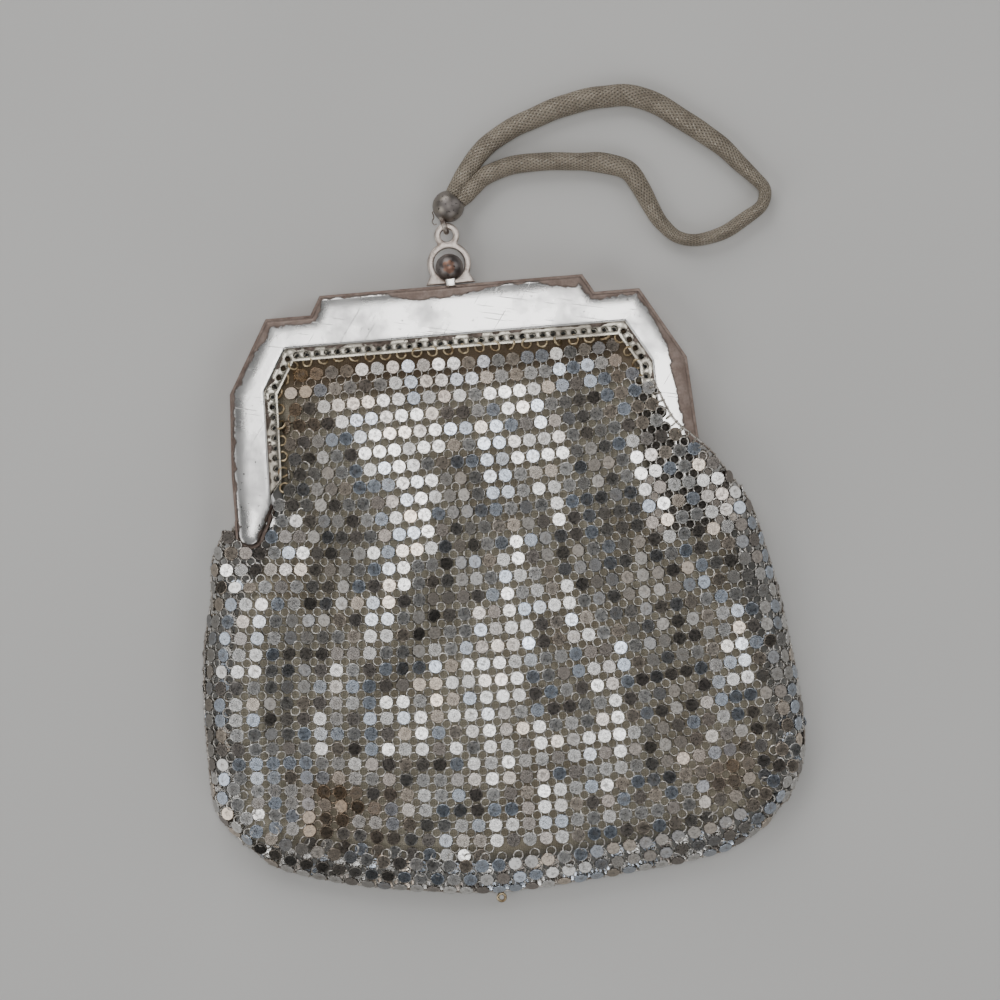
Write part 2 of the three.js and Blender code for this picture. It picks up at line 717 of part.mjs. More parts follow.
function strapLink() {
  const low = smallRingY + smallRingBore / 2 - linkWire / 2 - linkSlack;
  const high = beadRise - beadWidth / 2 + linkDepth - gap - linkWire / 2;
  const level = plateLevel + plateSheet / 2;
  const turn = (middle, from) => Array.from({ length: linkTurns + 1 }, (unused, i) => {
    const angle = from + (Math.PI * i) / linkTurns;
    const across = level + linkHalf * Math.cos(angle);
    return new THREE.Vector3(0, middle + linkHalf * Math.sin(angle), across);
  });
  const points = [...turn(high - linkHalf, 0), ...turn(low + linkHalf, Math.PI)];
  const loop = new THREE.CatmullRomCurve3(points, true);
  return new THREE.TubeGeometry(loop, linkSteps, linkWire / 2, linkSides, true);
}

function bottomRing() {
  const geometry = new THREE.TorusGeometry((tinyRing - tinyRingWire) / 2, tinyRingWire / 2, 5, 12);
  const level = (leftTop(1) + leftLow(1)) / 2 * frameDepth;
  geometry.translate(0, meshTop - bagDrop - gap - tinyRing / 2, level);
  return geometry;
}

// Materials
const finish = (colour, roughness, metalness) => {
  return new THREE.MeshStandardMaterial({ color: colour, roughness, metalness });
};
const silverPlate = finish(0xd8d6cf, 0.25, 1);
const wornMetal = finish(0x8e8078, 0.4, 1);
const tarnish = finish(0x4c4644, 0.35, 1);
const discMesh = finish(0x9a968f, 0.35, 1);
const brass = finish(0xa98e4e, 0.35, 1);
const champagneCloth = finish(0xb9a98c, 0.8, 0);
const knitWire = finish(0x6d655c, 0.6, 0.8);

const pieces = [
  ['jaw_front', jaw(0, armHalf - rimSheet + lugSheet, frontLevels), silverPlate],
  ['jaw_back', jaw(backOverhang, armHalf + backOverhang, backLevels), silverPlate],
  ['hinge_pin_left', hingePin(-1), wornMetal],
  ['hinge_pin_right', hingePin(1), wornMetal],
  ['clasp_plate', claspPlate(), wornMetal],
  ['clasp_ball', claspBall(), tarnish],
  ['front_lacing', lacing(frameDepth - stripStep - stripSheet / 2), brass],
  ['back_lacing', lacing(stripStep + stripSheet / 2), brass],
  ['mesh_bag', meshBag(), discMesh],
  ['lining', lining(), champagneCloth],
  ['bottom_ring', solidOf(bottomRing()), brass],
  ['strap', solidOf(strap()), knitWire],
  ['strap_bead', strapBead(), tarnish],
  ['strap_link', solidOf(strapLink()), wornMetal],
];

const cordPieces = ['strap', 'strap_bead', 'strap_link'];
const purse = new THREE.Group();
const bounds = new THREE.Box3();
pieces.forEach(([name, solid, material]) => {
  const mesh = new THREE.Mesh(geometryOf(solid), material);
  mesh.name = name;
  purse.add(mesh);
  if (!cordPieces.includes(name)) bounds.expandByObject(mesh);
});

// The origin is at the middle of the bottom of the purse without its strap
const middle = bounds.getCenter(new THREE.Vector3());
purse.position.set(-middle.x, -middle.y, -bounds.min.z);

export default purse;
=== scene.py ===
"""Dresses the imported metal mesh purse: disc mesh, worn plated frame, clasp, lining and knitted strap.

The purse is drawn in millimetres, with y at 0 on the upper edge of the front jaw's top bar. Every
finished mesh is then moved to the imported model's frame, in metres.
"""

from __future__ import annotations

import logging
import math
from dataclasses import dataclass
from enum import Enum
from typing import Callable, Sequence

import bmesh
import bpy
import numpy as np
from mathutils import Matrix, Vector
from mathutils.bvhtree import BVHTree

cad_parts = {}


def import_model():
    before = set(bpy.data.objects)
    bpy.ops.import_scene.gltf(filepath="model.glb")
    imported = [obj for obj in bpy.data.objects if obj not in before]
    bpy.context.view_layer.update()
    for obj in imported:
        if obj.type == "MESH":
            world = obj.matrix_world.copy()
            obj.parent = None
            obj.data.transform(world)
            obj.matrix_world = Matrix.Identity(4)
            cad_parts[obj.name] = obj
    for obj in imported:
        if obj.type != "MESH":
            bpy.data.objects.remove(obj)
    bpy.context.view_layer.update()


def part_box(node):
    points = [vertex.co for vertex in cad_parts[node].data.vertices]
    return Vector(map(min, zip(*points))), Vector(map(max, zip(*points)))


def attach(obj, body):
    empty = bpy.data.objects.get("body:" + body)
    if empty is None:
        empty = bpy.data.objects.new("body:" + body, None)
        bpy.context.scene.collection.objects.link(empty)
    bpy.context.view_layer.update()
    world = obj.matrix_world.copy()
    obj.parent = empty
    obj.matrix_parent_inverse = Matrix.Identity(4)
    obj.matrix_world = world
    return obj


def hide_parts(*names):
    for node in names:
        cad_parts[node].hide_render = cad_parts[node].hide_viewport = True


LOG = logging.getLogger("purse")
MM = 0.001
SEED = 11

Line = Callable[[np.ndarray], np.ndarray]


class Side(Enum):
    """The two sides of the bag, and the way that each faces."""

    FRONT = 1
    BACK = -1


@dataclass(frozen=True)
class Table:
    """A short table of numbers with named columns."""

    columns: str
    rows: tuple[tuple[float, ...], ...]

    def column(self, name: str) -> np.ndarray:
        """One column's numbers."""
        place = self.columns.split().index(name)
        return np.array([row[place] for row in self.rows], float)

    def line(self, given: str, wanted: str) -> Line:
        """A smooth line through a column that never overshoots its values.

        Args:
            given: The column to read from.
            wanted: The column that the line runs through.

        Returns:
            A function from arrays of the first to arrays of the second.
        """
        xs, ys = self.column(given), self.column(wanted)
        slopes = np.diff(ys) / np.diff(xs)
        before, after = slopes[:-1], slopes[1:]
        same = before * after > 0
        tangents = np.zeros(len(xs))
        inner = tangents[1:-1]
        inner[same] = 2 * before[same] * after[same] / (before[same] + after[same])

        def value(at: np.ndarray) -> np.ndarray:
            """The line's value at each of the given numbers."""
            held = np.clip(at, xs[0], xs[-1])
            i = np.clip(np.searchsorted(xs, held, side="left") - 1, 0, len(xs) - 2)
            span = xs[i + 1] - xs[i]
            t = (held - xs[i]) / span
            ends = ys[i] + (ys[i + 1] - ys[i]) * t * t * (3 - 2 * t)
            return ends + span * t * (1 - t) * ((1 - t) * tangents[i] - t * tangents[i + 1])

        return value


@dataclass(frozen=True)
class Field:
    """A value over the front of the bag, from a table of places across it and rows down it."""

    across: tuple[float, ...]
    rows: tuple[tuple[float, tuple[float, ...]], ...]

    def along(self, row: float, x: np.ndarray) -> np.ndarray:
        """The value at each x of one row."""
        shares = [share for share, _ in self.rows]
        values = [np.interp(row, shares, column) for column in zip(*(line for _, line in self.rows))]
        return np.interp(x, self.across, values)


# How steeply the rows of discs rise to the right, in degrees
ROW_TILT = Field((-60, -45, -32, -22, -12, -3, 6, 15, 24, 33, 42, 52, 62, 70), (
    (0.0, (0, 0, 0, 0, -1, -1.8, -0.5, 1.5, 3, 4, 3, 2, 2, 2)),
    (0.06, (2, 2, 1, 1.5, -1, -1.8, 0, 2, 3.2, 5.5, 4.5, 3, 2, 2)),
    (0.15, (0, 0, 0, 2.5, 0.5, -1.7, -1, 0.5, 4, 6.2, 4, 1, 0, 0)),
    (0.25, (-5, -5, -5, 0.5, 1.8, -0.8, -1, 1.8, 2, 6, 5.5, 1, 1, 1)),
    (0.35, (-4, -4, -6.5, -1.5, 1.4, -0.8, -0.8, 2.8, 2.6, 4, 6, 5, 3, 2)),
    (0.5, (-4.7, -3.9, -3.2, -3.2, -0.9, -0.7, 0.2, 3, 4, 3.4, 4.4, 5, 2.2, -0.5)),
    (0.65, (-2.5, -3.8, -4.7, -3, -1.8, -1.6, -0.5, 2.2, 2.4, 4, 7.5, 6, 1, -2)),
    (0.8, (-2, -4, -6.5, -7, -4.5, -2.6, -0.6, 1, 0, 2, 6.2, 4.5, 3, 0)),
    (0.95, (-14, -13, -12, -9.5, -6.5, -4.5, -2.5, 0.2, 1.4, 3.5, 5, 8, 12, 14)),
))
# How far apart the columns of discs are, seen from above
COLUMN_PITCH = Field((-55, -45, -36, -28, -19, -10, -1, 8, 17, 26, 35, 44, 53, 62), (
    (0.0, (3.6, 3.5, 3.4, 3.4, 3.5, 3.44, 3.36, 3.3, 3.26, 3.2, 3.2, 3.3, 3.3, 3.3)),
    (0.13, (3.5, 3.4, 3.15, 3.2, 3.34, 3.42, 3.46, 3.4, 3.22, 3.12, 3.12, 3.2, 3.3, 3.2)),
    (0.2, (3.4, 3.3, 3.1, 3.2, 3.25, 3.22, 3.34, 3.46, 3.42, 3.15, 3.16, 3.28, 3.2, 3.1)),
    (0.28, (3.3, 3.2, 3.1, 3.3, 3.26, 3.2, 3.2, 3.4, 3.56, 3.2, 3.3, 3.33, 3.25, 3.1)),
    (0.36, (3.2, 3.3, 3.16, 3.22, 3.25, 3.2, 3.14, 3.25, 3.4, 3.5, 3.4, 3.45, 3.35, 3.1)),
    (0.43, (3.3, 3.6, 3.55, 3.6, 3.4, 3.2, 3.3, 3.34, 3.4, 3.36, 3.5, 3.4, 3.2, 3.1)),
    (0.5, (3.7, 3.75, 3.45, 3.65, 3.66, 3.42, 3.42, 3.45, 3.4, 3.3, 3.42, 3.42, 3.5, 3.1)),
    (0.58, (3.88, 3.68, 3.6, 3.7, 3.75, 3.6, 3.62, 3.5, 3.44, 3.4, 3.22, 3.4, 3.55, 3.1)),
    (0.65, (3.95, 3.66, 3.74, 3.74, 3.77, 3.74, 3.74, 3.66, 3.55, 3.48, 3.25, 3.4, 3.35, 3.3)),
    (0.73, (3.95, 3.6, 3.72, 3.76, 3.8, 3.8, 3.82, 3.78, 3.62, 3.42, 3.2, 3.55, 3.3, 3.5)),
    (0.8, (3.8, 3.67, 3.6, 3.78, 3.83, 3.82, 3.92, 3.8, 3.52, 3.4, 3.5, 3.7, 3.5, 3.5)),
    (0.9, (3.8, 3.8, 3.8, 3.75, 3.9, 3.88, 3.76, 3.64, 3.58, 3.66, 3.7, 3.5, 3.5, 3.5)),
))
# How far apart the rows are down the middle, seen from above
ROW_PITCH = Table("at pitch", (
    (0, 3.62), (0.1, 3.7), (0.2, 3.72), (0.3, 3.76), (0.45, 3.82), (0.6, 3.77), (0.7, 3.66), (0.8, 3.52),
    (0.9, 3.46), (1, 3.42),
))
LEFT_EDGE = Table("at reach roll top low", (
    (0, 0.535, 0.5, 0.93, 0.035),
    (0.055, 0.586, 0.6, 0.93, 0.035),
    (0.24, 0.597, 0.6, 0.93, 0.035),
    (0.28, 0.645, 0.6, 0.88, 0.035),
    (0.315, 0.797, 0.4, 0.6, 0.37),
    (0.367, 0.851, 0.5, 0.55, 0.32),
    (0.4, 0.874, 0.6, 0.5, 0.28),
    (0.471, 0.885, 0.8, 0.42, 0.2),
    (0.575, 0.922, 1, 0.37, 0.15),
    (0.745, 0.941, 1, 0.33, 0.11),
    (0.858, 0.94, 1, 0.33, 0.11),
    (0.915, 0.931, 1, 0.33, 0.11),
    (0.962, 0.892, 1, 0.33, 0.11),
    (1, 0.848, 1, 0.33, 0.11),
))
RIGHT_EDGE = Table("at reach roll top low", (
    (0, 0.535, 0.5, 0.93, 0.035),
    (0.055, 0.592, 0.5, 1.0, 0.2),
    (0.087, 0.639, 0.3, 1.24, 1.04),
    (0.174, 0.702, 0.3, 1.24, 1.04),
    (0.218, 0.767, 0.3, 1.24, 1.04),
    (0.253, 0.822, 0.4, 1.12, 0.88),
    (0.291, 0.862, 0.45, 0.95, 0.72),
    (0.329, 0.904, 0.5, 0.81, 0.59),
    (0.367, 0.937, 0.6, 0.68, 0.46),
    (0.423, 0.962, 0.75, 0.55, 0.33),
    (0.518, 0.996, 0.9, 0.44, 0.22),
    (0.631, 1.025, 1, 0.35, 0.13),
    (0.745, 1.047, 1, 0.33, 0.11),
    (0.858, 1.056, 1, 0.33, 0.11),
    (0.915, 1.044, 1, 0.33, 0.11),
    (0.962, 1.016, 1, 0.33, 0.11),
    (1, 0.986, 1, 0.33, 0.11),
))
BAG_ROWS = Table("at sag height rest", (
    (0, 0, 0.69, 0.035),
    (0.1, 0, 0.79, 0.03),
    (0.25, 0.01, 0.88, 0.015),
    (0.4, 0.04, 0.93, 0),
    (0.6, 0.16, 0.93, 0),
    (0.8, 0.5, 0.86, 0),
    (0.93, 0.84, 0.76, 0),
    (1, 1, 0.66, 0),
))
BOTTOM_EDGE = Table("across sag", (
    (0, 0), (0.05, 0.33), (0.14, 0.6), (0.3, 0.87), (0.46, 1),
    (0.7, 0.87), (0.86, 0.7), (0.95, 0.37), (1, 0),
))
FOLDS = Table("start end first middle last width rise", (
    (0.3, 0.78, -0.65, -0.79, -0.77, 0.074, 0.11),
    (0.05, 0.74, -0.52, -0.55, -0.7, 0.08, -0.13),
    (0.02, 0.72, -0.42, -0.28, -0.51, 0.11, 0.14),
    (0.16, 0.64, -0.14, -0.09, -0.21, 0.08, -0.11),
    (0.02, 0.72, 0.19, 0.06, 0.36, 0.075, 0.12),
    (0.02, 0.8, 0.4, 0.3, 0.52, 0.085, -0.14),
    (0.04, 0.76, 0.54, 0.64, 0.74, 0.11, 0.17),
    (0.36, 0.82, 0.77, 0.86, 0.83, 0.07, -0.09),
    (0.66, 0.86, -0.7, -0.68, -0.64, 0.1, -0.13),
    (0.21, 0.42, -0.76, -0.75, -0.72, 0.13, -0.34),
    (0.72, 0.92, 0.9, 0.74, 0.56, 0.06, -0.08),
))
# Slack between the folds, from a hand's handling: where, how wide, and how high, in millimetres
DIMPLES = Table("x y width rise", (
    (-46, -112, 6, -0.8), (-34, -122, 7, -0.5), (-12, -58, 8, 0.25), (12, -92, 9, 0.3), (-24, -88, 7, -0.3),
    (33, -112, 8, -0.45), (48, -102, 6, 0.4), (2, -112, 10, 0.25), (-5, -38, 7, -0.2), (24, -52, 6, 0.3),
    (58, -82, 6, -0.4), (-55, -92, 6, 0.3), (18, -122, 8, 0.2), (36, -72, 7, -0.35), (-40, -78, 6, 0.3),
))
# Strokes where the discs lie flat and shine, or lean and look dark: from, to, width, and how much
# The same strokes also paint highlight and shade into the discs' colours
SHEEN = Table("x1 y1 x2 y2 width value", (
    (-27, -23, -10, -30, 3.5, 0.8), (-10, -30, 5, -33, 3, 0.7), (5, -33, 19, -40, 3, 0.9),
    (-20, -18, -4, -18, 2.5, 0.5), (-4, -18, 11, -25, 3, 0.7), (11, -25, 22, -36, 3, 0.9),
    (-22, -26, -20, -38, 4.5, 0.8), (-18, -30, -11, -45, 3.5, 0.9), (-11, -45, -12, -56, 3.5, 1),
    (-12, -56, -22, -71, 3.5, 1), (-22, -71, -32, -83, 3, 0.8), (-33, -85, -36, -96, 4.5, 1),
    (-41, -51, -41, -58, 3, 0.9), (-41, -58, -51, -70, 3, 0.9), (-51, -70, -55, -92, 4, 0.8),
    (-55, -92, -50, -109, 4, 0.8), (6, -38, 10, -60, 3, 0.8), (10, -60, 3, -76, 3.5, 0.7),
    (3, -76, -1, -98, 5.5, 0.9), (10, -73, 7, -92, 5, 0.7), (13, -40, 20, -54, 3, 0.5),
    (19, -72, 29, -88, 4, 0.8), (29, -88, 28, -101, 3.5, 0.8), (28, -101, 22, -110, 3.5, 0.6),
    (41, -42, 45, -57, 4, 0.9), (53, -47, 57, -55, 4, 0.4), (54, -76, 55, -88, 4, 0.8),
    (55, -88, 50, -106, 4, 0.9), (50, -106, 43, -117, 3.5, 0.7), (-28, -117, -14, -115, 2.5, 0.8),
    (-14, -112, 3, -108, 2.5, 0.8), (3, -108, 18, -102, 2.5, 0.7), (-11, -125, 8, -120, 4, 0.9),
    (8, -120, 14, -114, 3, 0.9), (15, -117, 17, -130, 3, 0.8), (-29, -127, -16, -129, 2, 0.8),
    (-37, -107, -24, -107, 2, 0.6), (-20, -93, -12, -100, 4, 0.6), (65, -100, 66, -113, 3, 0.6),
    (-58, -113, -55, -118, 2.5, 0.6), (20, -106, 12, -124, 4, 0.4), (-36, -24, -33, -55, 5.5, -0.6),
    (-30, -57, -39, -77, 4.5, -0.9), (-39, -77, -48, -95, 4, -1), (-3, -42, -2, -56, 3.5, -0.7),
    (-2, -56, -9, -72, 4, -0.8), (-9, -72, -18, -86, 3.5, -0.6), (26, -30, 32, -52, 4.5, -0.8),
    (32, -52, 44, -75, 5, -0.9), (12, -52, 20, -62, 3, -1), (20, -62, 34, -73, 4, -1),
    (34, -73, 43, -90, 4.5, -1), (43, -90, 38, -110, 5, -1), (62, -93, 63, -105, 3, -1),
    (63, -105, 47, -126, 4.5, -1), (-28, -111, -40, -118, 3, -1), (-19, -108, -5, -104, 2, -0.6),
    (-50, -122, -25, -131, 4, -0.7), (25, -131, 55, -124, 4, -0.7), (-6, -117, -25, -122, 2, -0.7),
    (-60, -60, -63, -100, 3, -0.6), (60, -60, 66, -90, 3, -0.5), (-38, -14, -14, -14, 3, -0.6),
    (2, -14, 40, -14, 3.5, -0.7), (-40, -16, -40, -48, 3, -0.4), (50, -58, 58, -72, 3, -0.5),
    (4, -40, 2, -58, 2, -0.3),
))
# How far the bare metal reaches in from the front jaw's outer edge, along that edge from its middle
WEAR = Table("along width", (
    (-96, 0.3), (-80, 0.35), (-62, 0.6), (-52, 0.7), (-46, 1.7), (-36, 1.4), (-30, 0.7), (-24, 0.3),
    (-14, 0.5), (-10, 2.0), (-4, 2.3), (2, 1.7), (6, 1.3), (12, 0.35), (20, 0.4), (23, 1.9), (28, 2.3),
    (31, 1.2), (40, 0.8), (50, 0.9), (57, 1.6), (62, 3.2), (70, 2.9), (78, 2.2), (88, 1.2), (96, 0.7),
))
STRAP_ROUTE = (
    (0.7, 19.9, 3.5), (2.6, 21.8, 3.4), (5.0, 25.2, 2.9), (7.6, 28.6, 2.5), (10.8, 31.5, 2.3),
    (15.2, 34.3, 2.2), (20.2, 36.4, 2.2), (26.1, 38.3, 2.2), (32.0, 39.7, 2.2), (37.8, 40.4, 2.2),
    (42.6, 40.3, 2.2), (47.6, 38.8, 2.2), (52.6, 35.6, 2.2), (57.6, 31.9, 2.2), (62.6, 27.8, 2.2),
    (66.4, 23.6, 2.2), (70.0, 19.6, 2.2), (72.3, 16.6, 2.2), (71.6, 13.4, 2.2), (67.4, 10.4, 2.2),
    (61.6, 7.4, 2.2), (56.0, 6.4, 2.2), (51.6, 7.6, 2.2), (48.6, 10.8, 2.2), (46.2, 15.2, 2.2),
    (44.3, 19.6, 2.2), (41.9, 23.2, 2.2), (37.8, 25.2, 2.2), (31.8, 26.2, 2.2), (25.4, 26.7, 2.2),
    (19.2, 26.9, 2.2), (13.6, 26.2, 2.3), (9.4, 24.5, 2.6), (6.6, 22.2, 3.0), (4.6, 20.4, 3.3),
    (2.4, 18.3, 3.5),
)
# The strap's width and height along its length, as shares of its plain width
STRAP_FORM = Table("along width height", (
    (0, 0.7, 0.6), (0.02, 0.95, 0.62), (0.09, 1.05, 0.75), (0.25, 1.2, 0.72), (0.38, 1.12, 0.72),
    (0.45, 0.92, 0.7), (0.49, 0.72, 0.85), (0.52, 0.66, 0.8), (0.56, 0.76, 0.72), (0.63, 0.66, 0.72),
    (0.72, 0.98, 0.72), (0.79, 1.12, 0.72), (0.82, 0.95, 0.8), (0.9, 1.0, 0.75), (0.98, 0.95, 0.65),
    (1, 0.7, 0.6),
))


@dataclass(frozen=True)
class Purse:
    """Sizes that the purse's parts share, in millimetres."""

    gap: float = 0.3
    jaw_depth: float = 4.4
    frame_depth: float = 9.1
    mesh_top: float = -14.9
    overhang: float = 0.8
    plate_low: float = 3.0
    plate_high: float = 4.0


SIZES = Purse()


def rolled(distance: np.ndarray, radius: np.ndarray) -> np.ndarray:
    """How much of its full height a rolled edge has reached at a distance in from the edge."""
    short = 1 - np.clip(distance / np.maximum(radius, 1e-6), 0, 1)
    return np.sqrt(1 - short * short)


class BagForm:
    """The bag's outer form: the height of its front and its back over the plan."""

    half = 67.25
    side_drop = 106.1
    sag = 15.1
    thick = 11.8
    roll = 8.0

    def __init__(self) -> None:
        """Makes the smooth lines of the form from the tables."""
        self.left = {name: LEFT_EDGE.line("at", name) for name in ("reach", "roll", "top", "low")}
        self.right = {name: RIGHT_EDGE.line("at", name) for name in ("reach", "roll", "top", "low")}
        self.rows = {name: BAG_ROWS.line("at", name) for name in ("sag", "height", "rest")}
        self.bottom = BOTTOM_EDGE.line("across", "sag")

    @property
    def drop(self) -> float:
        """The bag's whole length below its mouth."""
        return self.side_drop + self.sag

    def edges(self, row: np.ndarray) -> tuple[np.ndarray, np.ndarray]:
        """The left and the right edge's x at each row."""
        return -self.left["reach"](row) * self.half, self.right["reach"](row) * self.half

    def level(self, row: np.ndarray, across: np.ndarray) -> np.ndarray:
        """The y of a row at shares of the way across it."""
        return SIZES.mesh_top - row * self.side_drop - self.rows["sag"](row) * self.bottom(across) * self.sag

    def plan(self, x: np.ndarray, y: np.ndarray) -> tuple[np.ndarray, ...]:
        """Finds the row through each point of the plan.

        Args:
            x: The points' x.
            y: The points' y.

        Returns:
            The row, and the distances to the left, the right and the bottom edge.
        """
        low, high = np.zeros_like(x), np.ones_like(x)
        for _ in range(22):
            row = (low + high) / 2
            left, right = self.edges(row)
            below = self.level(row, np.clip((x - left) / (right - left), 0, 1)) < y
            high, low = np.where(below, row, high), np.where(below, low, row)
        row = (low + high) / 2
        left, right = self.edges(row)
        across = np.clip((x - left) / (right - left), 0, 1)
        floor = SIZES.mesh_top - self.side_drop - self.bottom(across) * self.sag
        return row, x - left, right - x, y - floor

    def folds(self, x: np.ndarray, y: np.ndarray) -> np.ndarray:
        """How far the folds and dimples of the front rise over the plan."""
        down = (SIZES.mesh_top - y) / self.drop
        rise = np.zeros_like(x)
        for start, end, first, middle, last, width, height in FOLDS.rows:
            along = np.clip((down - start) / (end - start), 0, 1)
            crest = first * (1 - along) * (1 - 2 * along) + middle * 4 * along * (1 - along)
            crest = crest + last * along * (2 * along - 1)
            fade = np.minimum(1, np.minimum(4 * along, 4 * (1 - along)))
            aside = (x / self.half - crest) / width
            rise += height * self.thick * np.exp(-aside * aside) * fade * fade * (3 - 2 * fade)
        for at_x, at_y, width, height in DIMPLES.rows:
            rise += height * np.exp(-((x - at_x) ** 2 + (y - at_y) ** 2) / width ** 2)
        return rise

    def heights(self, x: np.ndarray, y: np.ndarray) -> tuple[np.ndarray, np.ndarray, np.ndarray]:
        """The bag over points of the plan.

        Args:
            x: The points' x.
            y: The points' y.

        Returns:
            The front's height, the back's height, and how far each point lies inside the outline.
        """
        row, to_left, to_right, to_bottom = self.plan(x, y)
        full = rolled(to_left, self.left["roll"](row) * self.roll)
        full = full * rolled(to_right, self.right["roll"](row) * self.roll) * rolled(to_bottom, self.roll)
        near = to_left < to_right
        top = np.where(near, self.left["top"](row), self.right["top"](row)) * SIZES.frame_depth
        low = np.where(near, self.left["low"](row), self.right["low"](row)) * SIZES.frame_depth
        front = self.rows["height"](row) * self.thick + self.folds(x, y)
        back = self.rows["rest"](row) * SIZES.frame_depth
        inside = np.minimum(np.minimum(to_left, to_right), to_bottom)
        inside = np.minimum(inside, SIZES.mesh_top - y)
        return top + (front - top) * full, low + (back - low) * full, inside

    def surface(self, x: np.ndarray, y: np.ndarray, side: Side) -> np.ndarray:
        """The height of one side of the bag."""
        front, back, _ = self.heights(x, y)
        return front if side is Side.FRONT else back


def offset_line(line: np.ndarray, distance: float) -> np.ndarray:
    """Moves a line sideways with its corners kept sharp.

    Args:
        line: The line's points, from the right arm over the top to the left arm.
        distance: How far in towards the bag, or out where it is below 0.

    Returns:
        The moved points.
    """
    steps = np.diff(line, axis=0)
    steps /= np.linalg.norm(steps, axis=1)[:, None]
    into, out = np.vstack([steps[:1], steps]), np.vstack([steps, steps[-1:]])
    normal = np.column_stack([-into[:, 1] - out[:, 1], into[:, 0] + out[:, 0]])
    normal /= np.linalg.norm(normal, axis=1)[:, None]
    stretch = -normal[:, 0] * into[:, 1] + normal[:, 1] * into[:, 0]
    return line + normal * (distance / stretch)[:, None]


def spaced(line: np.ndarray, pitch: float, inset: float) -> np.ndarray:
    """Points at even steps along a line.

    Args:
        line: The line's points, in two or three directions.
        pitch: About how far apart the points are.
        inset: How far the first and last keep from the line's ends.

    Returns:
        The points.
    """
    along = np.concatenate([[0], np.cumsum(np.linalg.norm(np.diff(line, axis=0), axis=1))])
    count = int((along[-1] - 2 * inset) / pitch)
    at = np.linspace(inset, along[-1] - inset, count + 1)
    return np.column_stack([np.interp(at, along, line[:, i]) for i in range(line.shape[1])])


def circle(x: float, y: float, radius: float, sides: int, start: float = 0, turn: float = 360) -> np.ndarray:
    """Points on a circle, or on a part of one.

    Args:
        x: The middle's x.
        y: The middle's y.
        radius: The radius.
        sides: How many steps.
        start: Where it starts, in degrees.
        turn: How far it runs, in degrees.

    Returns:
        The points, the last one left out on a full circle.
    """
    last = abs(turn) < 360
    angles = np.radians(start + turn * np.arange(sides + last) / sides)
    return np.column_stack([x + radius * np.cos(angles), y + radius * np.sin(angles)])


